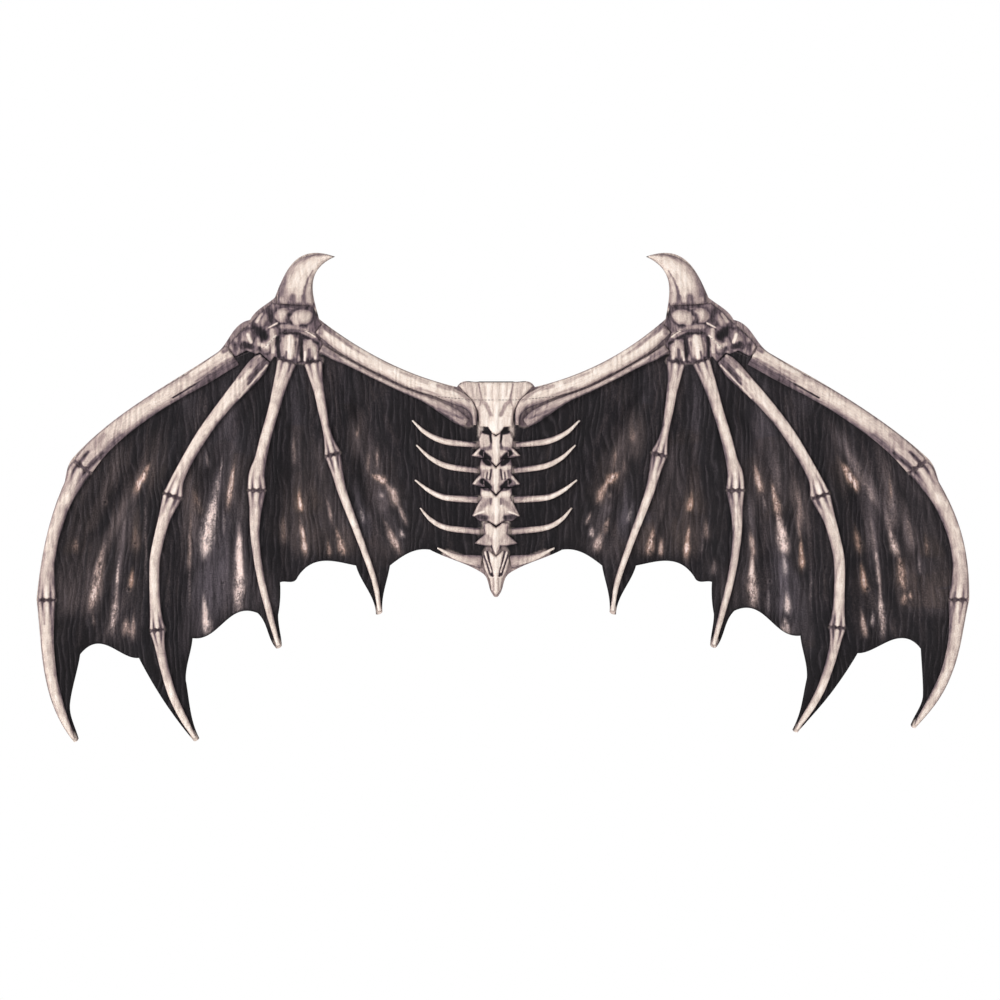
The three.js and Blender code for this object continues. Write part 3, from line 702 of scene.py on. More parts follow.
def lattice(column, row, seed):
    value = np.sin(column * 127.1 + row * 311.7 + seed * 74.7) * 43758.5453
    return value - np.floor(value)


def noise(across, along, seed):
    column, row = np.floor(across), np.floor(along)
    fx, fy = across - column, along - row
    fx, fy = fx * fx * (3 - 2 * fx), fy * fy * (3 - 2 * fy)
    low = lattice(column, row, seed) * (1 - fx) + lattice(column + 1, row, seed) * fx
    high = lattice(column, row + 1, seed) * (1 - fx) + lattice(column + 1, row + 1, seed) * fx
    return low * (1 - fy) + high * fy


def stroke(out, up, row):
    """Distance of each point beside a stroke's line, and how far along the line it lies."""
    run_out, run_up = row.to_out - row.out, row.to_up - row.up
    length = math.hypot(run_out, run_up)
    step_out, step_up = out - row.out, up - row.up
    aside = (step_out * run_up - step_up * run_out) / length
    return aside, (step_out * run_out + step_up * run_up) / length**2


def distance_from(out, up, row):
    """Distance from each point to a stroke."""
    aside, along = stroke(out, up, row)
    past = (along - np.clip(along, 0, 1)) * math.hypot(row.to_out - row.out, row.to_up - row.up)
    return np.hypot(aside, past)


def draw_marks(tone, out, up, marks):
    """Draws strokes over a tone, and gives how deep the dark ones are cut."""
    cut = np.zeros_like(tone)
    ragged = MARK.ragged * (noise(out / MARK.grain, up / MARK.grain, 5) - 0.5)
    for row in marks:
        distance = distance_from(out, up, row) + ragged
        mask = 1 - smooth(distance, MARK.inside * row.half, MARK.outside * row.half)
        depth = min(max(row.tone - MARK.cut_from, 0) / (1 - MARK.cut_from), 1)
        tone = tone + (row.tone - tone) * mask
        cut = cut + (depth - cut) * mask
    return tone, cut


# Where a wing's points lie
def lay(side, out, up):
    """How far the pulls on the right wing move its points."""
    shift_out, shift_up = np.zeros_like(out), np.zeros_like(out)
    if side > 0:
        for pull in LAY:
            away = ((out - pull.out) / pull.reach_out) ** 2 + ((up - pull.up) / pull.reach_up) ** 2
            share = np.exp(-away)
            shift_out = shift_out + share * pull.shift_out
            shift_up = shift_up + share * pull.shift_up
    return shift_out, shift_up


def place(side, out, up):
    out, up = np.asarray(out, float), np.asarray(up, float)
    shift_out, shift_up = lay(side, out, up)
    return side * (out + shift_out), up + shift_up


def unplace(x, up):
    """The wing point, out and up, that lies at a place on the object."""
    wing_out, wing_up = np.abs(x), up.copy()
    right = x > 0
    for _ in range(3):
        shift_out, shift_up = lay(1, wing_out, wing_up)
        wing_out = np.where(right, np.abs(x) - shift_out, np.abs(x))
        wing_up = np.where(right, up - shift_up, up)
    return wing_out, wing_up


def sweep_at(x):
    return -SWEEP * (x / HALF_SPAN) ** 2


def catmull(points, parts=24):
    """A smooth run through points."""
    points = np.array(points, float)
    points = np.vstack([2 * points[0] - points[1], points, 2 * points[-1] - points[-2]])
    share = np.linspace(0, 1, parts, endpoint=False)[:, None]
    runs = []
    for p0, p1, p2, p3 in zip(points, points[1:], points[2:], points[3:]):
        d0, d1, d2 = (np.linalg.norm(b - a) ** 0.5 for a, b in ((p0, p1), (p1, p2), (p2, p3)))
        t1 = d1 * ((p1 - p0) / d0 - (p2 - p0) / (d0 + d1) + (p2 - p1) / d1)
        t2 = d1 * ((p2 - p1) / d1 - (p3 - p1) / (d1 + d2) + (p3 - p2) / d2)
        square = -3 * p1 + 3 * p2 - 2 * t1 - t2
        cube = 2 * p1 - 2 * p2 + t1 + t2
        runs.append(p1 + t1 * share + square * share**2 + cube * share**3)
    return np.vstack([*runs, points[-2][None]])


def even_run(points, step):
    """Points at even distances along a run, with their distance from its start."""
    gaps = np.linalg.norm(np.diff(points[:, :2], axis=0), axis=1)
    along = np.concatenate([[0], np.cumsum(gaps)])
    count = max(3, round(along[-1] / step))
    stations = np.linspace(0, along[-1], count + 1)
    columns = [np.interp(stations, along, points[:, index]) for index in range(points.shape[1])]
    return np.stack(columns, axis=1), stations


def directions(run):
    """Unit directions along a flat run and across it."""
    along = np.gradient(run[:, :2], axis=0)
    along = along / np.linalg.norm(along, axis=1)[:, None]
    return along, np.stack([-along[:, 1], along[:, 0]], axis=1)


def wing_edge(step):
    """Points along one wing's edge, whose bowed sides are given by their rise at a third and two thirds."""
    points = []
    start = np.array([0.0, EDGE[0].up])
    for row in EDGE:
        end = np.array([row.out, row.up], float)
        chord = end - start
        outward = np.array([-chord[1], chord[0]]) / np.linalg.norm(chord)
        handle_a = start + chord / 3 + outward * (3 * row.bow_a - 1.5 * row.bow_b)
        handle_b = start + chord * 2 / 3 + outward * (3 * row.bow_b - 1.5 * row.bow_a)
        steps = max(1, round(np.linalg.norm(chord) / step))
        for share in np.arange(steps) / steps:
            rest = 1 - share
            near = rest**3 * start + 3 * rest**2 * share * handle_a
            points.append(near + 3 * rest * share**2 * handle_b + share**3 * end)
        start = end
    points.append(start)
    return np.array(points)


def outline(step):
    edge = wing_edge(step)
    right = np.stack(place(1, edge[:, 0], edge[:, 1]), axis=1)
    left = np.stack(place(-1, edge[1:-1, 0], edge[1:-1, 1]), axis=1)
    return np.vstack([right, left[::-1]])


# Helpers for meshes
def point_tree(points):
    tree = KDTree(len(points))
    for index, (out, up) in enumerate(points):
        tree.insert((out, up, 0), index)
    tree.balance()
    return tree


def distance_to(points, border):
    tree = point_tree(border)
    return np.array([tree.find((out, up, 0))[2] for out, up in points])


def fill(border, step):
    """Triangles that fill an outline: the border's points first, then an even field of points inside it."""
    tree = point_tree(border)
    low, high = border.min(0), border.max(0)
    inside = []
    for number, up in enumerate(np.arange(low[1], high[1], step * ROW_PITCH)):
        for out in np.arange(low[0] + (number % 2) * step / 2, high[0], step):
            if tree.find((out, up, 0))[2] > BORDER_CLEAR * step:
                inside.append((out, up))
    points = [Vector(point) for point in [*border, *inside]]
    made = delaunay_2d_cdt(points, [], [list(range(len(border)))], 1, 1e-6)
    places = np.array([tuple(point) for point in made[0]])
    order = {source: index for index, sources in enumerate(made[3]) for source in sources}
    loop = [order[index] for index in range(len(border))]
    return places, np.array(made[2]), loop


def sheet_faces(front, front_loop, back, back_loop, offset):
    """Faces of a closed sheet: its front, its back and the rim between them."""
    faces = front.tolist()
    faces.extend((a + offset, c + offset, b + offset) for a, b, c in back)
    count = len(front_loop)
    for index in range(count):
        after = (index + 1) % count
        a, b = front_loop[index], front_loop[after]
        faces.append((b, a, back_loop[index] + offset, back_loop[after] + offset))
    return faces


def tube_faces(rings, size, first=0):
    """Faces of a tube of rings of points, closed at both ends."""
    faces = []
    last = first + (rings - 1) * size
    for start in range(first, last, size):
        for column in range(size):
            a, b = start + column, start + (column + 1) % size
            faces.append((a, b, b + size, a + size))
    faces.append(tuple(range(first + size - 1, first - 1, -1)))
    faces.append(tuple(range(last, last + size)))
    return faces


def build_piece(name, points, faces, materials, fields, node, face_materials=None):
    """A mesh piece in metres, facing outwards, that stands for a node."""
    mesh = bpy.data.meshes.new(name)
    mesh.from_pydata((points * MM).tolist(), [], [list(face) for face in faces])
    for field, values in {**fields, "spot": points[:, [0, 2, 1]]}.items():
        kind, part = ("FLOAT", "value") if values.ndim == 1 else ("FLOAT_VECTOR", "vector")
        data = mesh.attributes.new(field, kind, "POINT").data
        data.foreach_set(part, values.astype(np.float32).ravel())
    for material in materials:
        mesh.materials.append(material)
    if face_materials is not None:
        mesh.polygons.foreach_set("material_index", np.asarray(face_materials, np.int32))
    mesh.calc_loop_triangles()
    corners = np.array([triangle.vertices for triangle in mesh.loop_triangles])
    a, b, c = (points[corners[:, index]] for index in range(3))
    if np.einsum("ij,ij->", a, np.cross(b, c)) < 0:
        mesh.flip_normals()
    mesh.shade_smooth()
    mesh.set_sharp_from_angle(angle=math.radians(SHARP_ANGLE))
    piece = bpy.data.objects.new(name, mesh)
    bpy.context.scene.collection.objects.link(piece)
    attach(piece, "root")
    if node:
        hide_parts(node)
    return piece


# Helpers for materials
SPECULAR = 0.16
SHEEN_ROUGHNESS = 0.5

# Depths of the finest relief, in metres
CRINKLE_DEPTH = 0.0016
BONE_CRINKLE_DEPTH = 0.0012
CORD_DEPTH = 0.0007
THREAD_DEPTH = 0.0004
TWIST_DEPTH = 0.0002

# Noise in the materials: spots in each millimetre along its axes, detail, roughness and distortion
TEXTURES = table(
    "name x y z detail roughness distortion",
    ("thread", 2.2, 2.2, 1, 2, 0.5, 0),
    ("crinkle_drift", 0.03, 0.011, 0, 3, 0.5, 0),
    ("crinkle_fade", 0.1, 0.035, 0, 3, 0.6, 0),
    ("grain", 0.9, 0.7, 0, 3, 0.75, 0),
    ("bone_fibre", 0.07, 0.75, 0, 4, 0.65, 0),
    ("bone_blotch", 0.09, 0.16, 0, 4, 0.6, 0.6),
    ("bone_speck", 0.9, 1.1, 0, 3, 0.7, 0),
    ("broad", 0.06, 0.011, 0, 2, 0.5, 0.3),
    ("stripe", 0.13, 0.016, 0, 4, 0.55, 0.7),
    ("fibre", 0.42, 0.13, 0, 5, 0.72, 1.2),
    ("speck", 0.5, 0.36, 0, 4, 0.8, 0.5),
    ("rivulet", 0.14, 0.012, 0, 2, 0.5, 0.7),
    ("dark", 0.055, 0.007, 0, 2, 0.5, 0.2),
    ("vein", 0.06, 0.007, 0, 2, 0.5, 0.8),
    ("crumple", 0.3, 0.09, 1, 4, 0.62, 0.6),
    ("back_stripe", 0.2, 0.03, 0, 4, 0.6, 0.8),
)


def linear(red, green, blue):
    shares = [value / 255 for value in (red, green, blue)]
    lit = [share / 12.92 if share <= 0.04045 else ((share + 0.055) / 1.055) ** 2.4 for share in shares]
    return (*lit, 1)


class Shader:
    """A material and short calls that add its nodes."""

    def __init__(self, name, roughness, sheen=0.0):
        self.material = bpy.data.materials.new(name)
        self.material.use_nodes = True
        self.tree = self.material.node_tree
        self.surface = self.tree.nodes["Principled BSDF"]
        self.surface.inputs["Roughness"].default_value = roughness
        self.surface.inputs["Specular IOR Level"].default_value = SPECULAR
        self.surface.inputs["Sheen Weight"].default_value = sheen
        self.surface.inputs["Sheen Roughness"].default_value = SHEEN_ROUGHNESS

    def add(self, kind, output=0, settings=None, **inputs):
        made = self.tree.nodes.new(kind)
        for key, value in (settings or {}).items():
            setattr(made, key, value)
        for key, value in inputs.items():
            socket = made.inputs[int(key[1:])] if key[1:].isdigit() else made.inputs[key.replace("_", " ")]
            if isinstance(value, bpy.types.NodeSocket):
                self.tree.links.new(value, socket)
            else:
                socket.default_value = value
        return made.outputs[output]

    def attribute(self, name, output="Fac"):
        return self.add("ShaderNodeAttribute", output, {"attribute_name": name})

    def math(self, operation, first, second=0.0, clamp=False):
        settings = {"operation": operation, "use_clamp": clamp}
        return self.add("ShaderNodeMath", 0, settings, i0=first, i1=second)

    def total(self, *terms):
        """Sum of values, each times its share."""
        parts = [value if share == 1 else self.math("MULTIPLY", value, share) for value, share in terms]
        result = parts[0]
        for part in parts[1:]:
            result = self.math("ADD", result, part)
        return result

    def beyond(self, value, start, gain):
        """Zero up to a start, then rising to one; a gain below zero makes it rise the other way."""
        return self.math("MULTIPLY", self.math("SUBTRACT", value, start), gain, True)

    def contrast(self, value, gain):
        """A value spread about its middle."""
        return self.math("ADD", self.math("MULTIPLY", self.math("SUBTRACT", value, 0.5), gain), 0.5, True)

    def noise(self, vector, name):
        """One of the textures."""
        row = next(row for row in TEXTURES if row.name == name)
        scale = (row.x, row.y, row.z)
        spot = self.add("ShaderNodeVectorMath", 0, {"operation": "MULTIPLY"}, i0=vector, i1=scale)
        return self.add(
            "ShaderNodeTexNoise", 0, None, Vector=spot, Scale=1, Detail=row.detail, Roughness=row.roughness,
            Distortion=row.distortion,
        )

    def wave(self, vector, direction, **inputs):
        return self.add("ShaderNodeTexWave", 0, {"bands_direction": direction}, Vector=vector, **inputs)

    def ramp(self, factor, *stops):
        made = self.tree.nodes.new("ShaderNodeValToRGB")
        while len(made.color_ramp.elements) < len(stops):
            made.color_ramp.elements.new(0.5)
        for element, (position, colour) in zip(made.color_ramp.elements, stops):
            element.position = position
            element.color = colour
        self.tree.links.new(factor, made.inputs[0])
        return made.outputs[0]

    def mix(self, factor, first, second, blend="MIX"):
        settings = {"data_type": "RGBA", "blend_type": blend}
        return self.add("ShaderNodeMix", 2, settings, i0=factor, i6=first, i7=second)

    def tint(self, colour, other, factor, share):
        return self.mix(self.math("MULTIPLY", factor, share), colour, other)

    def bump(self, height, strength, distance, normal=None):
        extra = {"Normal": normal} if normal is not None else {}
        extra.update(Height=height, Strength=strength, Distance=distance)
        return self.add("ShaderNodeBump", 0, None, **extra)

    def weave(self, vector, strength, normal):
        return self.bump(self.noise(vector, "thread"), strength, THREAD_DEPTH, normal)

    def finish(self, colour, normal):
        self.tree.links.new(colour, self.surface.inputs["Base Color"])
        self.tree.links.new(normal, self.surface.inputs["Normal"])
        return self.material


# Colours of the print
CREAM_LIGHT = linear(240, 229, 221)
CREAM = linear(218, 202, 191)
BONE_MID = linear(171, 152, 147)
MAUVE = linear(108, 92, 98)
BONE_DARK = linear(50, 42, 47)
INK = linear(20, 17, 20)
CHARCOAL = linear(18, 16, 20)
CHARCOAL_MID = linear(30, 26, 30)
GREY_BROWN = linear(54, 47, 49)
BROWN_LIGHT = linear(92, 80, 79)
PURPLE_GREY = linear(96, 88, 95)
# Painted highlight on the crepe ridges
RIDGE_HIGHLIGHT_GREY = linear(126, 116, 122)
BROWN_BAND = linear(108, 92, 86)
GREY_CREAM = linear(168, 154, 154)
TAN = linear(172, 138, 122)
PINK_CREAM = linear(230, 207, 200)

# Colours of the other materials
BACK_DARK = linear(36, 34, 37)
BACK_LIGHT = linear(55, 52, 56)
# Painted highlight on the crinkle ridges of the back
BACK_RIDGE_HIGHLIGHT = linear(84, 80, 85)
ELASTIC_DARK = linear(14, 14, 16)
# Painted highlight on the raised weave of the elastic
ELASTIC_RAISED_HIGHLIGHT = linear(62, 60, 65)
THREAD_DARK = linear(52, 44, 48)
# Painted highlight on the raised twist of the thread
THREAD_TWIST_HIGHLIGHT = linear(96, 84, 88)
FLOOR_WHITE = linear(243, 242, 240)


def crinkle_lines(shader):
    """Crepe lines that run down the cloth, wavy and fading in and out: their height for the bump, their
    ridges for a painted highlight and their valleys for painted shade.
    """
    spot = shader.attribute("spot", "Vector")
    drift = shader.noise(spot, "crinkle_drift")
    across = shader.add("ShaderNodeSeparateXYZ", 0, None, Vector=spot)
    turns = shader.total((across, 1 / CRINKLE_PITCH), (drift, 5.0))
    wave = shader.math("SINE", shader.math("MULTIPLY", turns, 2 * math.pi))
    wave = shader.math("ADD", shader.math("MULTIPLY", wave, 0.5), 0.5)
    fade = shader.beyond(shader.noise(spot, "crinkle_fade"), 0.36, 4.0)
    # Masks of the crepe ridges and valleys, used for a painted highlight and painted shade
    ridge = shader.math("MULTIPLY", shader.math("POWER", wave, 4.0), fade)
    valley_shade = shader.math("MULTIPLY", shader.math("POWER", shader.math("SUBTRACT", 1.0, wave), 4.0), fade)
    return shader.math("MULTIPLY", wave, fade), ridge, valley_shade


def fine_grain(shader, colour, strength):
    """The print's fine grain over a colour."""
    grain = shader.noise(shader.attribute("spot", "Vector"), "grain")
    return shader.mix(strength, colour, shader.contrast(grain, 2.6), "OVERLAY")


def bone_colour(shader, ridge, valley_shade):
    """The bone print's colour from its tone, with grain along the bone, blotches, specks, painted shade in
    the crepe valleys and a painted highlight on the crepe ridges.
    """
    tone = shader.attribute("tone")
    grain = shader.attribute("grain", "Vector")
    fibres = shader.noise(grain, "bone_fibre")
    blotch = shader.noise(grain, "bone_blotch")
    speck = shader.noise(grain, "bone_speck")
    for texture, share in ((fibres, 0.42), (blotch, 0.42), (speck, 0.24)):
        tone = shader.total((tone, 1), (shader.math("SUBTRACT", texture, 0.5), share))
    # Painted shade in the crepe valleys and a painted highlight on the crepe ridges
    tone = shader.total((tone, 1), (valley_shade, 0.09), (ridge, -0.06))
    colour = shader.ramp(
        tone, (0.0, CREAM_LIGHT), (0.2, CREAM), (0.44, BONE_MID), (0.68, MAUVE), (0.88, BONE_DARK),
        (1.0, INK),
    )
    return fine_grain(shader, colour, 0.3)


def printed_cloth():
    """Dark membrane print with streaks that run down from the wrist, on crinkled cloth with a fine weave,
    with a painted highlight on the crinkles' ridges and painted shade in their valleys.
    """
    shader = Shader("printed_cloth", roughness=0.75, sheen=0.03)
    wing = shader.attribute("wing", "Vector")
    warm = shader.attribute("warm")
    height, ridge, valley_shade = crinkle_lines(shader)
    broad = shader.noise(wing, "broad")
    stripes = shader.noise(wing, "stripe")
    fibres = shader.noise(wing, "fibre")
    speck = shader.noise(wing, "speck")
    rivulets = shader.contrast(shader.noise(wing, "rivulet"), 3.4)
    rough = shader.math("SUBTRACT", shader.total((fibres, 0.8), (speck, 0.7)), 0.75)

    # Dark ground with darker stretches
    ground = shader.total((broad, 0.28), (stripes, 0.28), (fibres, 0.22), (speck, 0.2), (rivulets, 0.06))
    base = shader.ramp(
        ground, (0.45, CHARCOAL), (0.53, CHARCOAL_MID), (0.61, GREY_BROWN), (0.71, BROWN_LIGHT),
    )
    dark = shader.beyond(shader.noise(wing, "dark"), 0.56, -5.0)
    base = shader.tint(base, INK, dark, 0.6)

    # Soft broken bands, dark veins and the shade near the bones
    broken = shader.total((stripes, 1.8), (rough, 1))
    broken = shader.math("MULTIPLY", broken, shader.math("ADD", rivulets, 0.5))
    band = shader.math("MULTIPLY", shader.attribute("band"), broken, True)
    base = shader.mix(band, base, shader.mix(warm, PURPLE_GREY, BROWN_BAND))
    contour = shader.noise(wing, "vein")
    contour = shader.math("PINGPONG", shader.math("MULTIPLY", contour, 9.0), 1.0)
    vein = shader.math("POWER", shader.math("SUBTRACT", 1.0, contour), 4.0)
    base = shader.tint(base, INK, vein, 0.55)
    base = shader.mix(shader.attribute("shade"), base, INK)

    # Light streaks with ragged edges
    ragged = shader.total((rough, 2.2), (shader.math("SUBTRACT", rivulets, 0.6), 0.5))
    level = shader.math("MULTIPLY", shader.attribute("light"), shader.math("ADD", ragged, 0.84), True)
    cool_streak = shader.ramp(level, (0.1, PURPLE_GREY), (0.55, GREY_CREAM), (1.0, PINK_CREAM))
    warm_streak = shader.ramp(level, (0.1, BROWN_BAND), (0.6, TAN), (1.0, PINK_CREAM))
    streak = shader.mix(warm, cool_streak, warm_streak)
    colour = shader.mix(shader.math("MULTIPLY", level, 1.5, True), base, streak)

    # Painted highlight on the crepe ridges and painted shade in their valleys, grain, the bone print beside
    # the bones, and ink
    colour = shader.tint(colour, RIDGE_HIGHLIGHT_GREY, ridge, 0.12)
    colour = shader.tint(colour, INK, valley_shade, 0.3)
    colour = fine_grain(shader, colour, 0.6)
    colour = shader.mix(shader.attribute("bone"), colour, bone_colour(shader, ridge, valley_shade))
    colour = shader.mix(shader.attribute("ink"), colour, INK)
    crumple = shader.noise(wing, "crumple")
    normal = shader.bump(crumple, 0.4, CRINKLE_DEPTH, shader.bump(height, 0.8, CRINKLE_DEPTH))
    return shader.finish(colour, shader.weave(wing, 0.2, normal))


def black_backing():
    """Plain black cloth on the back, with the same crinkles showing through as a bump, a painted highlight on
    their ridges and painted shade in their valleys.
    """
    shader = Shader("black_backing", roughness=0.8, sheen=0.2)
    wing = shader.attribute("wing", "Vector")
    height, ridge, valley_shade = crinkle_lines(shader)
    stripes = shader.noise(wing, "back_stripe")
    colour = shader.ramp(stripes, (0.3, BACK_DARK), (0.7, BACK_LIGHT))
    # Painted highlight on the ridges and painted shade in the valleys
    colour = shader.tint(colour, BACK_RIDGE_HIGHLIGHT, ridge, 0.3)
    colour = shader.tint(colour, INK, valley_shade, 0.5)
    return shader.finish(colour, shader.weave(wing, 0.25, shader.bump(height, 0.8, CRINKLE_DEPTH)))


def printed_bone():
    """Bone print: its drawn tone, grain along the bone and blotches, on the same crinkled cloth with its
    painted shade and highlight.
    """
    shader = Shader("printed_bone", roughness=0.72, sheen=0.08)
    height, ridge, valley_shade = crinkle_lines(shader)
    colour = bone_colour(shader, ridge, valley_shade)
    normal = shader.bump(height, 0.5, BONE_CRINKLE_DEPTH)
    return shader.finish(colour, shader.weave(shader.attribute("grain", "Vector"), 0.18, normal))


def strap_elastic():
    """Black elastic webbing: lengthways cords crossed by fine picks, as a bump, with a painted highlight
    where the weave is raised and painted shade between.
    """
    shader = Shader("strap_elastic", roughness=0.7, sheen=0.15)
    band = shader.attribute("band", "Vector")
    cords = shader.wave(band, "Y", Scale=0.22, Distortion=0.4, Detail=1.0)
    picks = shader.wave(band, "X", Scale=0.32, Distortion=0.8, Detail=1.0)
    weave = shader.math("MULTIPLY", cords, shader.math("ADD", shader.math("MULTIPLY", picks, 0.5), 0.5))
    # Painted highlight where the weave is raised, painted shade where it is low
    colour = shader.ramp(weave, (0.0, ELASTIC_DARK), (1.0, ELASTIC_RAISED_HIGHLIGHT))
    return shader.finish(colour, shader.bump(weave, 0.6, CORD_DEPTH))


def thread():
    """Dark sewing thread with a twist, as a bump with a painted highlight on the raised twist."""
    shader = Shader("thread", roughness=0.55, sheen=0.1)
    twist = shader.wave(shader.attribute("band", "Vector"), "DIAGONAL", Scale=1.6)
    # Painted highlight where the twist is raised
    colour = shader.ramp(twist, (0.0, THREAD_DARK), (1.0, THREAD_TWIST_HIGHLIGHT))
    return shader.finish(colour, shader.bump(twist, 0.4, TWIST_DEPTH))


CLOTH_FRONT = printed_cloth()
CLOTH_BACK = black_backing()
BONE = printed_bone()
ELASTIC = strap_elastic()
THREAD = thread()


# The cloth
def flat_places():
    """Where the cloth lies flat: places on the object and the half width there."""
    places = []
    for side in (-1, 1):
        for rows in [*BONES.values(), *RIBS]:
            run, _ = even_run(catmull(rows), FLAT_STEP)
            x, up = place(side, run[:, 0], run[:, 1])
            places.append(np.stack([x, up, run[:, 2]], axis=1))
        for carpal in CARPALS:
            x, up = place(side, carpal.out, carpal.up)
            places.append(np.array([[x, up, carpal.half_long + FLAT_BORDER]]))
        for out, up in STRAP.spots:
            places.append(np.array([[side * out, up, STRAP.spot_half]]))
    heights = np.arange(SPINE.top, SPINE.tip, -FLAT_STEP)
    places.append(np.stack([0 * heights, heights, 0 * heights + SPINE.flat_half], axis=1))
    return np.vstack(places)


FLAT = flat_places()


def clear_of_bones(x, up):
    """Distance from each point to the nearest place where the cloth lies flat."""
    clear = np.empty(len(x))
    for start in range(0, len(x), POINTS_AT_ONCE):
        part = slice(start, start + POINTS_AT_ONCE)
        gaps = np.hypot(x[part, None] - FLAT[:, 0], up[part, None] - FLAT[:, 1]) - FLAT[:, 2]
        clear[part] = gaps.min(axis=1)
    return clear


def fan(out, up):
    """Coordinates of the print: across the streaks that spread from the wrist, and down along them."""
    depth = WRIST.up - up
    spread = np.where(out > WRIST.out, FAN.outer, FAN.inner)
    return (out - WRIST.out) / (1 + spread * np.maximum(depth, 0) / FAN.length), depth


def sag_at(x, up, clear):
    share = smooth(clear, FLAT_BORDER, FLAT_BORDER + SAG_REACH)
    angle = np.arctan2(np.abs(x) - WRIST.out, WRIST.up - up)
    return share * (SAG + FOLD * np.sin(angle * FOLDS_PER_RADIAN))


def print_noise(across, along, row):
    """Noise in the print's coordinates, whose spots are a pitch wide and a length long."""
    return noise(across / row.pitch, along / row.length, row.seed)


def folds_at(across, along, row):
    """Height of sharp folds that run along the print."""
    return row.height * (1 - np.abs(2 * print_noise(across, along, row) - 1))


def crinkle_at(x, up, clear):
    """Fine crepe folds that run down the cloth, flat where a bone lies on it."""
    across, along = fan(np.abs(x), up)
    across = across + DRIFT.height * (print_noise(across, along, DRIFT) - 0.5)
    across = across + np.where(x > 0, RIGHT_FOLDS_ON, 0)
    return smooth(clear, *CREPE_FADE) * (folds_at(across, along, CREPE) + folds_at(across, along, RIPPLE))


def back_folds_at(x, up, clear):
    """Soft folds on the back of the cloth, wider than the front's crepe."""
    across, along = fan(np.abs(x), up)
    across = across + np.where(x > 0, RIGHT_FOLDS_ON, 0)
    return smooth(clear, *BACK_FADE) * folds_at(across, along, BACK_FOLD)


def knuckle_mark(rows):
    """The dark print in the gap past a bone's far end."""
    (near_out, near_up, _), (out, up, half) = rows[-2:]
    length = math.hypot(out - near_out, up - near_up)
    way_out, way_up = (out - near_out) / length, (up - near_up) / length
    reach = half - KNUCKLE.half - KNUCKLE.inset
    return SimpleNamespace(
        out=out + KNUCKLE.past * way_out - reach * way_up,
        up=up + KNUCKLE.past * way_up + reach * way_out,
        to_out=out + KNUCKLE.past * way_out + reach * way_up,
        to_up=up + KNUCKLE.past * way_up - reach * way_out,
        half=KNUCKLE.half,
        tone=KNUCKLE.tone,
    )


def bone_ground(out, up, edge_gap):
    """Where the cloth itself carries the bone print, and its tone there."""
    mask = np.zeros_like(out)
    tone = np.full_like(out, TONE.ground)
    jointed = [rows for name, rows in BONES.items() if name.startswith("finger") and not name.endswith("tip")]
    for row in [*GROUND_MARKS, *map(knuckle_mark, jointed)]:
        share = 1 - smooth(distance_from(out, up, row), row.half - MARK.blur, row.half + MARK.blur)
        mask = np.maximum(mask, share)
        tone = tone + (row.tone - tone) * share

    # Beside the leading bones the print runs on to the cloth's edge
    border = np.flatnonzero(edge_gap < RIM_PRINT.edge)
    picked = np.arange(len(border))
    rim = np.zeros(len(border))
    for name in LEADING_BONES:
        run, _ = even_run(catmull(BONES[name]), EDGE_STEP)
        way, _ = directions(run)
        step_out, step_up = out[border, None] - run[:, 0], up[border, None] - run[:, 1]
        nearest = np.argmin(step_out**2 + step_up**2, axis=1)
        step_out, step_up = step_out[picked, nearest], step_up[picked, nearest]
        outward = step_up * way[nearest, 0] - step_out * way[nearest, 1]
        if name == "thumb_claw":
            outward = np.abs(outward)
        half = run[nearest, 2]
        beside = smooth(outward / half, *RIM_PRINT.aside)
        beside = beside * (1 - smooth(np.hypot(step_out, step_up) - half, *RIM_PRINT.fade))
        rim = np.maximum(rim, beside)
    wrist = smooth(out[border], *RIM_PRINT.wrist_out) * smooth(up[border], *RIM_PRINT.wrist_up)
    tone[border] += (TONE.wrist - tone[border]) * wrist
    mask[border] = np.maximum(mask[border], np.maximum(rim, wrist))
    return mask, tone


def streaks_at(out, up, wobble, patches, streaks, bands):
    """One wing's light streaks, their warmth and the soft bands under them."""
    light, band = np.zeros_like(out), np.zeros_like(out)
    warm_sum, weight = np.zeros_like(out), np.full_like(out, 1e-6)
    for row in bands:
        aside, share = stroke(out, up, row)
        ends = smooth(share, *BAND.starts) * (1 - smooth(share, *BAND.ends))
        level = row.level * hill(aside + BAND.wobble * wobble, 0, row.half) * ends
        band = np.maximum(band, level)
        warm_sum += level * row.warm * BAND.warmth
        weight += level * BAND.warmth
    for row in streaks:
        aside, share = stroke(out, up, row)
        width = row.half * (STREAK.narrow + STREAK.widening * smooth(share, *STREAK.widens))
        reach = np.abs(aside + wobble) / width
        ends = smooth(share, *STREAK.starts) * (1 - smooth(share, *STREAK.ends))
        body = np.exp(-STREAK.core_fall * reach**2) + STREAK.halo * np.exp(-STREAK.halo_fall * reach)
        body = body * ends * patches * row.light
        light = np.maximum(light, body)
        warm_sum += body * row.warm
        weight += body
    return light, warm_sum / weight, band


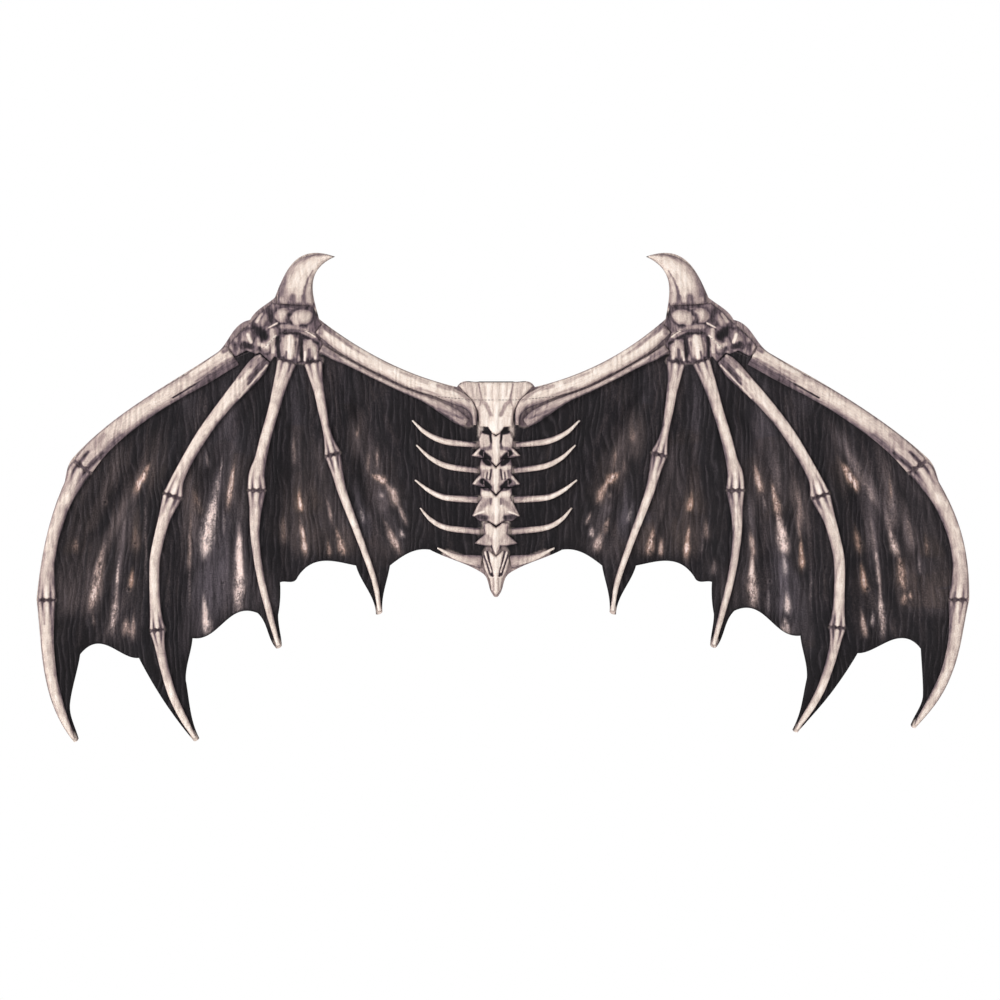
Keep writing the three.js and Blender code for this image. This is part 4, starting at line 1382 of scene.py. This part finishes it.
def print_at(x, z, edge_gap, clear):
    """The print's fields: light streaks, their warmth, soft bands, shade near the bones, ink and bone."""
    out, up = unplace(x, z)
    across, along = fan(out, up)
    wobble = WOBBLE.height * (print_noise(across, along, WOBBLE) - 0.5)
    patches = PATCH_LOW + PATCH.height * print_noise(across, along, PATCH)
    light, warm = np.zeros_like(out), np.zeros_like(out)
    band = CLOUD.height * smooth(print_noise(across, along, CLOUD), *CLOUD_FADE)
    right = x > 0
    for wing, streaks, bands in ((~right, LEFT_STREAKS, LEFT_BANDS), (right, RIGHT_STREAKS, RIGHT_BANDS)):
        drawn = streaks_at(np.abs(x[wing]), z[wing], wobble[wing], patches[wing], streaks, bands)
        light[wing], warm[wing] = drawn[:2]
        band[wing] = np.maximum(band[wing], drawn[2])
    bone, tone = bone_ground(out, up, edge_gap)
    ink = (1 - smooth(edge_gap, *INK_FADE)) * (1 - bone)
    for row in SPOTS:
        gap = np.hypot(out - row.out, up - row.up)
        light = np.maximum(light, SPOT.light * hill(gap, SPOT.ring * row.half, row.half))
        ink = np.maximum(ink, 1 - smooth(gap / row.half, *SPOT.ink))
    shade = SHADE.bone * (1 - smooth(clear, *SHADE.bone_fade))
    shade = shade + SHADE.edge * (1 - smooth(edge_gap, *SHADE.edge_fade))
    shade = np.maximum(shade, SHADE.low * smooth(-up, *SHADE.low_fade))
    shade = np.maximum(shade, SHADE.spine * (1 - smooth(out, *SHADE.spine_fade)))
    return {
        "light": light,
        "warm": warm,
        "band": band,
        "shade": np.clip(shade, 0, 1),
        "ink": ink,
        "bone": bone,
        "tone": tone,
        "wing": np.stack([across, along, np.where(right, RIGHT_PRINT_ON, 0)], axis=1),
        "grain": np.stack([along, across, 0 * along], axis=1),
    }


def cloth_side(border, step):
    """One side of the cloth: its points, triangles and border, and how far back it lies."""
    places, faces, loop = fill(border, step)
    x, up = places[:, 0], places[:, 1]
    clear = clear_of_bones(x, up)
    level = sweep_at(x) + sag_at(x, up, clear)
    return SimpleNamespace(x=x, up=up, faces=faces, loop=loop, clear=clear, level=level)


def flat_area(side):
    """Area of one side of the cloth, laid flat."""
    (x0, x1, x2), (up0, up1, up2) = side.x[side.faces].T, side.up[side.faces].T
    return np.abs((x1 - x0) * (up2 - up0) - (up1 - up0) * (x2 - x0)).sum() / 2


def make_cloth():
    border = outline(EDGE_STEP)
    front = cloth_side(border, FRONT_STEP)
    back = cloth_side(border, BACK_STEP)
    crinkle = CRINKLE_RISE * crinkle_at(front.x, front.up, front.clear)
    front_y = front.level - CLOTH + CRINKLE_INSET * smooth(front.clear, *CREPE_FADE) - crinkle
    back_y = back.level + back_folds_at(back.x, back.up, back.clear)
    points = np.vstack([
        np.stack([front.x, front_y, front.up], axis=1),
        np.stack([back.x, back_y, back.up], axis=1),
    ])
    faces = sheet_faces(front.faces, front.loop, back.faces, back.loop, len(front.x))
    face_materials = [0] * len(front.faces) + [1] * (len(faces) - len(front.faces))
    edge_gap = distance_to(points[:, [0, 2]], outline(EDGE_STEP / 2))
    clear = np.concatenate([front.clear, back.clear])
    piece = build_piece(
        "printed_cloth_panel", points, faces, [CLOTH_FRONT, CLOTH_BACK],
        print_at(points[:, 0], points[:, 2], edge_gap, clear), "cloth_panel", face_materials,
    )
    return piece, flat_area(front) * MM * MM


# Long bones
def bone_tone(look, across, near, far, seed):
    """Tone of a long bone's print from the place across it and the distances from its ends."""
    edge = np.abs(across)
    tone = np.full_like(across, look.tone)
    for gap, end_tone in ((near, look.tone_near), (far, look.tone_far)):
        tone = tone + (end_tone - tone) * np.exp(-((gap / END_FADE) ** 1.5))
    tone = tone + BONE_SHADING.edge * smooth(edge, *BONE_SHADING.edge_fade)
    tone = tone + BONE_SHADING.side * smooth(-across, 0, 1) - BONE_SHADING.lift
    for row in BONE_BLOTCHES:
        blotch = noise(near / row.length + 10 * seed, across * row.across, seed + row.seed)
        tone = tone + row.strength * (blotch - 0.5)

    # A knuckle has two dark grooves between three light ridges, and a dark line at its end
    for gap, strength in ((near, look.near), (far, look.far)):
        reach = strength * hill(gap, 0, KNUCKLE_PRINT.reach)
        groove = hill(edge, KNUCKLE_PRINT.groove, KNUCKLE_PRINT.groove_half)
        tone = tone + (TONE.groove - tone) * np.clip(groove * reach * KNUCKLE_PRINT.groove_gain, 0, 1)
        tone = tone - KNUCKLE_PRINT.middle_light * reach * hill(across, 0, KNUCKLE_PRINT.middle_half)
        ridge = hill(edge, KNUCKLE_PRINT.ridge, KNUCKLE_PRINT.ridge_half)
        tone = tone - KNUCKLE_PRINT.ridge_light * reach * ridge
        tone = tone + (TONE.gap - tone) * strength * (1 - smooth(gap, 0, KNUCKLE_PRINT.line))
    return tone + (TONE.edge - tone) * smooth(edge, *BONE_SHADING.line) * look.edge


def bone_piece(name, points, faces, tone, grain):
    fields = {"tone": tone, "grain": grain}
    piece = build_piece(name + "_pad", points, faces, [BONE], fields, name)
    return piece


def make_bone(name, rows, look, side, seed, marks=()):
    """A padded bone from its sections, with the marks drawn on it."""
    run, stations = even_run(catmull(rows), BONE_STEP)
    tangent, normal = directions(run)
    count = 2 * max(BONE_ACROSS, round(run[:, 2].max() / ACROSS_STEP)) + 1
    across = np.sin(np.linspace(-math.pi / 2, math.pi / 2, count))
    near = np.repeat(stations[:, None], count, axis=1)
    far = stations[-1] - near
    wide = np.repeat(across[None], len(run), axis=0)
    half = (run[:, 2] - look.rim)[:, None]

    # The ends are rounded, and a knuckle's end has three lobes
    end_round = np.ones_like(near)
    push = np.zeros_like(near)
    lobes = np.cos(FORM.lobe_turn * math.pi * wide)
    for gap, strength, way in ((near, look.near, -1), (far, look.far, 1)):
        closing = np.clip(gap / FORM.end, 0, 1)
        dome = np.sqrt(1 - (1 - closing) ** 2)
        end_round = np.minimum(end_round, FORM.end_low + (1 - FORM.end_low) * dome)
        push = push + way * strength * FORM.lobe_push * (lobes - 1) * (1 - smooth(gap, 0, FORM.lobe_reach))
    out = run[:, 0, None] + normal[:, 0, None] * wide * half + tangent[:, 0, None] * push
    up = run[:, 1, None] + normal[:, 1, None] * wide * half + tangent[:, 1, None] * push

    tone = bone_tone(look, wide, near, far, seed)
    tone, cut = draw_marks(tone, out, up, marks)
    height = FORM.side + (1 - FORM.side) * np.sqrt(np.clip(1 - wide**2, 0, 1))
    height = height * look.rise * end_round * (1 - FORM.mark_depth * cut)
    groove = FORM.groove_depth * hill(np.abs(wide), FORM.groove, FORM.groove_half)
    for gap, strength in ((near, look.near), (far, look.far)):
        height = height * (1 - strength * groove * hill(gap, 0, FORM.groove_reach))

    def with_base(values, base):
        return np.concatenate([base[:, :1], values, base[:, -1:]], axis=1)

    out, up = with_base(out, out), with_base(up, up)
    height = with_base(height, 0 * height)
    tone = with_base(tone, 0 * tone + TONE.under)
    along = with_base(near, near)
    offset = with_base(wide * half, wide * half)
    x, z = place(side, out, up)
    points = np.stack([x, sweep_at(x) - CLOTH - GAP - height, z], axis=2).reshape(-1, 3)
    grain = np.stack([along + 200 * seed, offset, 0 * offset], axis=2).reshape(-1, 3)
    return bone_piece(name, points, tube_faces(*out.shape), tone.ravel(), grain)


# Bones that are cut from an outline
def refine(corners, step):
    loop = np.array([*corners, corners[0]], float)
    points = []
    for start, end in zip(loop, loop[1:]):
        count = max(1, round(np.linalg.norm(end - start) / step))
        points.extend(start + (end - start) * index / count for index in range(count))
    return np.array(points)


def mirrored(half):
    return [*half, *[(-out, up) for out, up in reversed(half) if out > 0]]


def make_pad(name, corners, side, rise_at, tone_at, marks, edge_dark, grain_seed):
    """A flat bone from its outline, rules for its height and tone, and the marks drawn on it."""
    border = refine(corners, PAD_STEP)
    places, faces, loop = fill(border, PAD_STEP)
    out, up = places[:, 0], places[:, 1]
    gap = distance_to(places, refine(corners, PAD_STEP / 3))
    blotch = noise(out / PAD_PRINT.pitch + PAD_PRINT.start, up / PAD_PRINT.length, grain_seed)
    tone = tone_at(out, up) + PAD_PRINT.blotch * (blotch - 0.5)
    tone, cut = draw_marks(tone, np.abs(out), up, marks)
    tone = tone + (TONE.edge - tone) * edge_dark * (1 - smooth(gap, *PAD_PRINT.edge))
    height = rise_at(out, up, gap) * (1 - PAD_PRINT.mark_depth * cut)
    x, z = place(side, out, up)
    base = sweep_at(x) - CLOTH - GAP
    points = np.vstack([np.stack([x, base - height, z], axis=1), np.stack([x, base, z], axis=1)])
    tone = np.concatenate([tone, 0 * tone + TONE.under])
    grain = np.stack([up + 300 * grain_seed, out, 0 * out], axis=1)
    faces = sheet_faces(faces, loop, faces, loop, len(places))
    return bone_piece(name, points, faces, tone, np.vstack([grain, grain]))


def carpal_radius(carpal, out, up):
    """Distance from a wrist bone's middle, one at its edge."""
    turn = math.radians(carpal.turn)
    along = (out - carpal.out) * math.cos(turn) + (up - carpal.up) * math.sin(turn)
    across = (up - carpal.up) * math.cos(turn) - (out - carpal.out) * math.sin(turn)
    return np.hypot(along / carpal.half_long, across / carpal.half_wide)


def wrist_rise(out, up, gap):
    height = PAD * smooth(gap, *PAD_EDGE)
    for carpal in CARPALS:
        dome = np.sqrt(np.clip(1 - carpal_radius(carpal, out, up) ** 2, 0, 1))
        height = np.maximum(height, PAD / 2 + (carpal.rise - PAD / 2) * dome)
    return height


def wrist_tone(out, up):
    """Mauve ground with a dark line round each wrist bone and a lighter middle."""
    look = WRIST_PRINT
    tone = look.tone + look.blotch * (noise(out / look.blotch_size, up / look.blotch_size, 12) - 0.5)
    ragged = look.ragged * (noise(out / look.ragged_size, up / look.ragged_size, 11) - 0.5)
    for carpal in CARPALS:
        radius = look.size * carpal_radius(carpal, out, up) + ragged
        tone = tone + (TONE.groove - tone) * (1 - smooth(radius, *look.line))
        middle = carpal.tone + look.rounding * radius**2
        tone = tone + (middle - tone) * (1 - smooth(radius, *look.body))
    return tone


def spine_rise(out, up, gap):
    """Crowned from its edge, with a ridge along the middle."""
    form = SPINE_FORM
    crown = np.sqrt(1 - (1 - np.clip(gap / form.crown, 0, 1)) ** 2)
    ridge = hill(out, 0, form.ridge_half)
    return RISE.spine * (form.base + form.crown_share * crown + form.ridge_share * ridge * crown)


def spine_end_tone(out, up):
    """Light in the middle, browner towards the sides."""
    return SPINE_PRINT.middle + SPINE_PRINT.side * smooth(np.abs(out), *SPINE_PRINT.side_fade)


def vertebra_half(row):
    """One side of a vertebra's outline, from its notch down to its tip."""
    return [
        (0, row.notch),
        (row.waist / 2, row.top),
        (row.waist, row.top),
        (row.body, (row.top + row.neck) / 2),
        (row.body - NECK_INSET, row.neck),
        (row.wing, row.wing_up),
        (row.body, row.low),
        (row.body / 2, row.low),
        (0, row.tip),
    ]


def vertebra_tone(row):
    """Rule for a vertebra's tone: browner towards its sides."""
    def tone_at(out, up):
        return row.tone + SPINE_PRINT.wing * smooth(np.abs(out) / row.body, SPINE_PRINT.wing_from, 1)

    return tone_at


# Straps
def make_strap(name, side):
    """One strap's loop of webbing; gives its length."""
    run, stations = even_run(catmull(STRAP_PATH), STRAP_STEP)
    _, normal = directions(run)
    half, thick = STRAP.width / 2, STRAP.thickness / 2
    across = np.linspace(-1, 1, STRAP.points_across)
    bulge = thick * np.sqrt(1 - STRAP.edge_thinning * across**STRAP.edge_power)
    section = [*zip(across, bulge), *zip(across[::-1], -bulge[::-1])]
    points, band = [], []
    for (behind, up), way, station in zip(run, normal, stations):
        for share, rise in section:
            points.append((share * half, behind + way[0] * rise, up + way[1] * rise))
            band.append((station, share * half, rise))
    points = np.array(points)
    points[:, 0] += side * STRAP.out
    points[:, 1] += sweep_at(STRAP.out - half) + GAP - points[:, 1].min()
    faces = tube_faces(len(run), len(section))
    piece = build_piece(
        name + "_webbing", points, faces, [ELASTIC], {"band": np.array(band)}, name,
    )
    return stations[-1]


# Stitches
def add_stitch(points, faces, band, start, end, lift):
    """One stitch: a short round thread from start to end, pressed into the surface at its ends."""
    axis = (end - start) / np.linalg.norm(end - start)
    side_way = np.cross(axis, lift)
    faces.extend(tube_faces(len(STITCH.shares), STITCH.sides, len(points)))
    for share, size in zip(STITCH.shares, STITCH.sizes):
        centre = start + (end - start) * share + lift * STITCH.radius * (size - 0.5)
        for index in range(STITCH.sides):
            angle = 2 * math.pi * index / STITCH.sides
            ring_way = side_way * math.cos(angle) + lift * math.sin(angle)
            points.append(centre + ring_way * STITCH.radius * size)
            band.append((share * STITCH.length, angle, 0))


def make_seam(name, side, trees):
    """The stitches along one half of the seam, laid on what is frontmost there."""
    run, stations = even_run(catmull(SEAM), SEAM_STEP)
    x, up = place(side, run[:, 0], run[:, 1])
    points, faces, band = [], [], []
    lift = np.array([0.0, -1.0, 0.0])

    def surface(distance):
        px, pz = np.interp(distance, stations, x), np.interp(distance, stations, up)
        before = Vector((px * MM, IN_FRONT, pz * MM))
        hits = [tree.ray_cast(before, Vector((0, 1, 0))) for tree in trees]
        nearest = min(hit[0].y for hit in hits if hit[0] is not None)
        return np.array([px, nearest / MM, pz])

    for start in np.arange(STITCH.first, stations[-1] - STITCH.pitch, STITCH.pitch):
        add_stitch(points, faces, band, surface(start), surface(start + STITCH.length), lift)
    return build_piece(name, np.array(points), faces, [THREAD], {"band": np.array(band)}, None)


# Build the object
cloth, cloth_area = make_cloth()
front_pieces = [cloth]
for side_name, side in SIDES:
    for number, look in enumerate(LOOKS):
        name, marks = f"{side_name}_{look.name}", BONE_MARKS.get(look.name, ())
        front_pieces.append(make_bone(name, BONES[look.name], look, side, number + 1, marks))
    for number, rows in enumerate(RIBS):
        front_pieces.append(make_bone(f"{side_name}_rib_{number + 1}", rows, RIB_LOOK, side, number + 20))
    front_pieces.append(
        make_pad(
            f"{side_name}_wrist", WRIST_PAD, side, wrist_rise, wrist_tone, WRIST_MARKS,
            edge_dark=0.5, grain_seed=31,
        )
    )
    make_strap(f"{side_name}_shoulder_strap", side)
spine = table(
    "name half tone_at marks edge_dark seed",
    ("spine_top", SPINE_TOP, spine_end_tone, SPINE_TOP_MARKS, 0.16, 32),
    *(
        (
            f"vertebra_{number + 1}", vertebra_half(row), vertebra_tone(row), marks,
            VERTEBRA_EDGE, VERTEBRA_SEED + number,
        )
        for number, (row, marks) in enumerate(zip(VERTEBRAE, VERTEBRA_MARKS))
    ),
    ("tail_bone", TAIL_BONE, spine_end_tone, TAIL_MARKS, 0.4, 38),
)
for row in spine:
    corners = mirrored(row.half)
    front_pieces.append(
        make_pad(row.name, corners, 1, spine_rise, row.tone_at, row.marks, row.edge_dark, row.seed)
    )

bpy.context.view_layer.update()
graph = bpy.context.evaluated_depsgraph_get()
trees = [BVHTree.FromObject(piece, graph) for piece in front_pieces]
seams = [make_seam(f"{side_name}_channel_seam", side, trees) for side_name, side in SIDES]

# Floor, light and camera
FLOOR_LEVEL = -1.1
FLOOR_RADIUS = 6.2
FLOOR_SIDES = 96
FLOOR_GLOW = 0.3
WORLD_LIGHT = 0.32
LIGHT_AIM = Vector((0, 0, -0.1))
LIGHTS = table(
    "name place size power",
    ("key", (-2.9, -1.9, 1.3), 1.2, 97),
    ("fill", (2.2, -2.8, 0.6), 2.0, 40),
    ("rear", (-2.6, 2.2, 1.4), 1.2, 110),
)


def make_floor():
    mesh = bpy.data.meshes.new("studio_floor")
    turns = np.arange(FLOOR_SIDES) * 2 * math.pi / FLOOR_SIDES
    corners = [(FLOOR_RADIUS * math.cos(turn), FLOOR_RADIUS * math.sin(turn), FLOOR_LEVEL) for turn in turns]
    mesh.from_pydata(corners, [], [tuple(range(FLOOR_SIDES))])
    floor = bpy.data.objects.new("studio_floor", mesh)
    bpy.context.scene.collection.objects.link(floor)
    shader = Shader("pale_floor", roughness=0.9)
    shader.surface.inputs["Base Color"].default_value = FLOOR_WHITE
    shader.surface.inputs["Emission Color"].default_value = FLOOR_WHITE
    shader.surface.inputs["Emission Strength"].default_value = FLOOR_GLOW
    mesh.materials.append(shader.material)


def add_light(row):
    lamp = bpy.data.lights.new(row.name, "AREA")
    lamp.size = row.size
    lamp.energy = row.power
    light = bpy.data.objects.new(row.name, lamp)
    light.location = row.place
    light.rotation_mode = "QUATERNION"
    light.rotation_quaternion = (LIGHT_AIM - Vector(row.place)).to_track_quat("-Z", "Y")
    bpy.context.scene.collection.objects.link(light)


def make_world():
    """White all round for the camera, softer as a light."""
    world = bpy.data.worlds.new("studio")
    world.use_nodes = True
    tree = world.node_tree
    background = tree.nodes["Background"]
    background.inputs["Color"].default_value = (1, 1, 1, 1)
    path = tree.nodes.new("ShaderNodeLightPath")
    blend = tree.nodes.new("ShaderNodeMapRange")
    blend.inputs["To Min"].default_value = WORLD_LIGHT
    blend.inputs["To Max"].default_value = 1.0
    tree.links.new(path.outputs["Is Camera Ray"], blend.inputs["Value"])
    tree.links.new(blend.outputs["Result"], background.inputs["Strength"])
    bpy.context.scene.world = world


def make_camera():
    lens, sensor = 250.0, 36.0
    view_width = 1.0753
    aim = Vector((0.0043, 0, -0.1075))
    data = bpy.data.cameras.new("camera")
    data.lens = lens
    data.sensor_width = sensor
    data.clip_end = 100
    camera = bpy.data.objects.new("camera", data)
    camera.location = aim + Vector((0, -view_width * lens / sensor, 0))
    camera.rotation_euler = (math.pi / 2, 0, 0)
    bpy.context.scene.collection.objects.link(camera)
    bpy.context.scene.camera = camera


make_floor()
make_world()
for row in LIGHTS:
    add_light(row)
make_camera()
bpy.context.scene.view_settings.view_transform = "Standard"
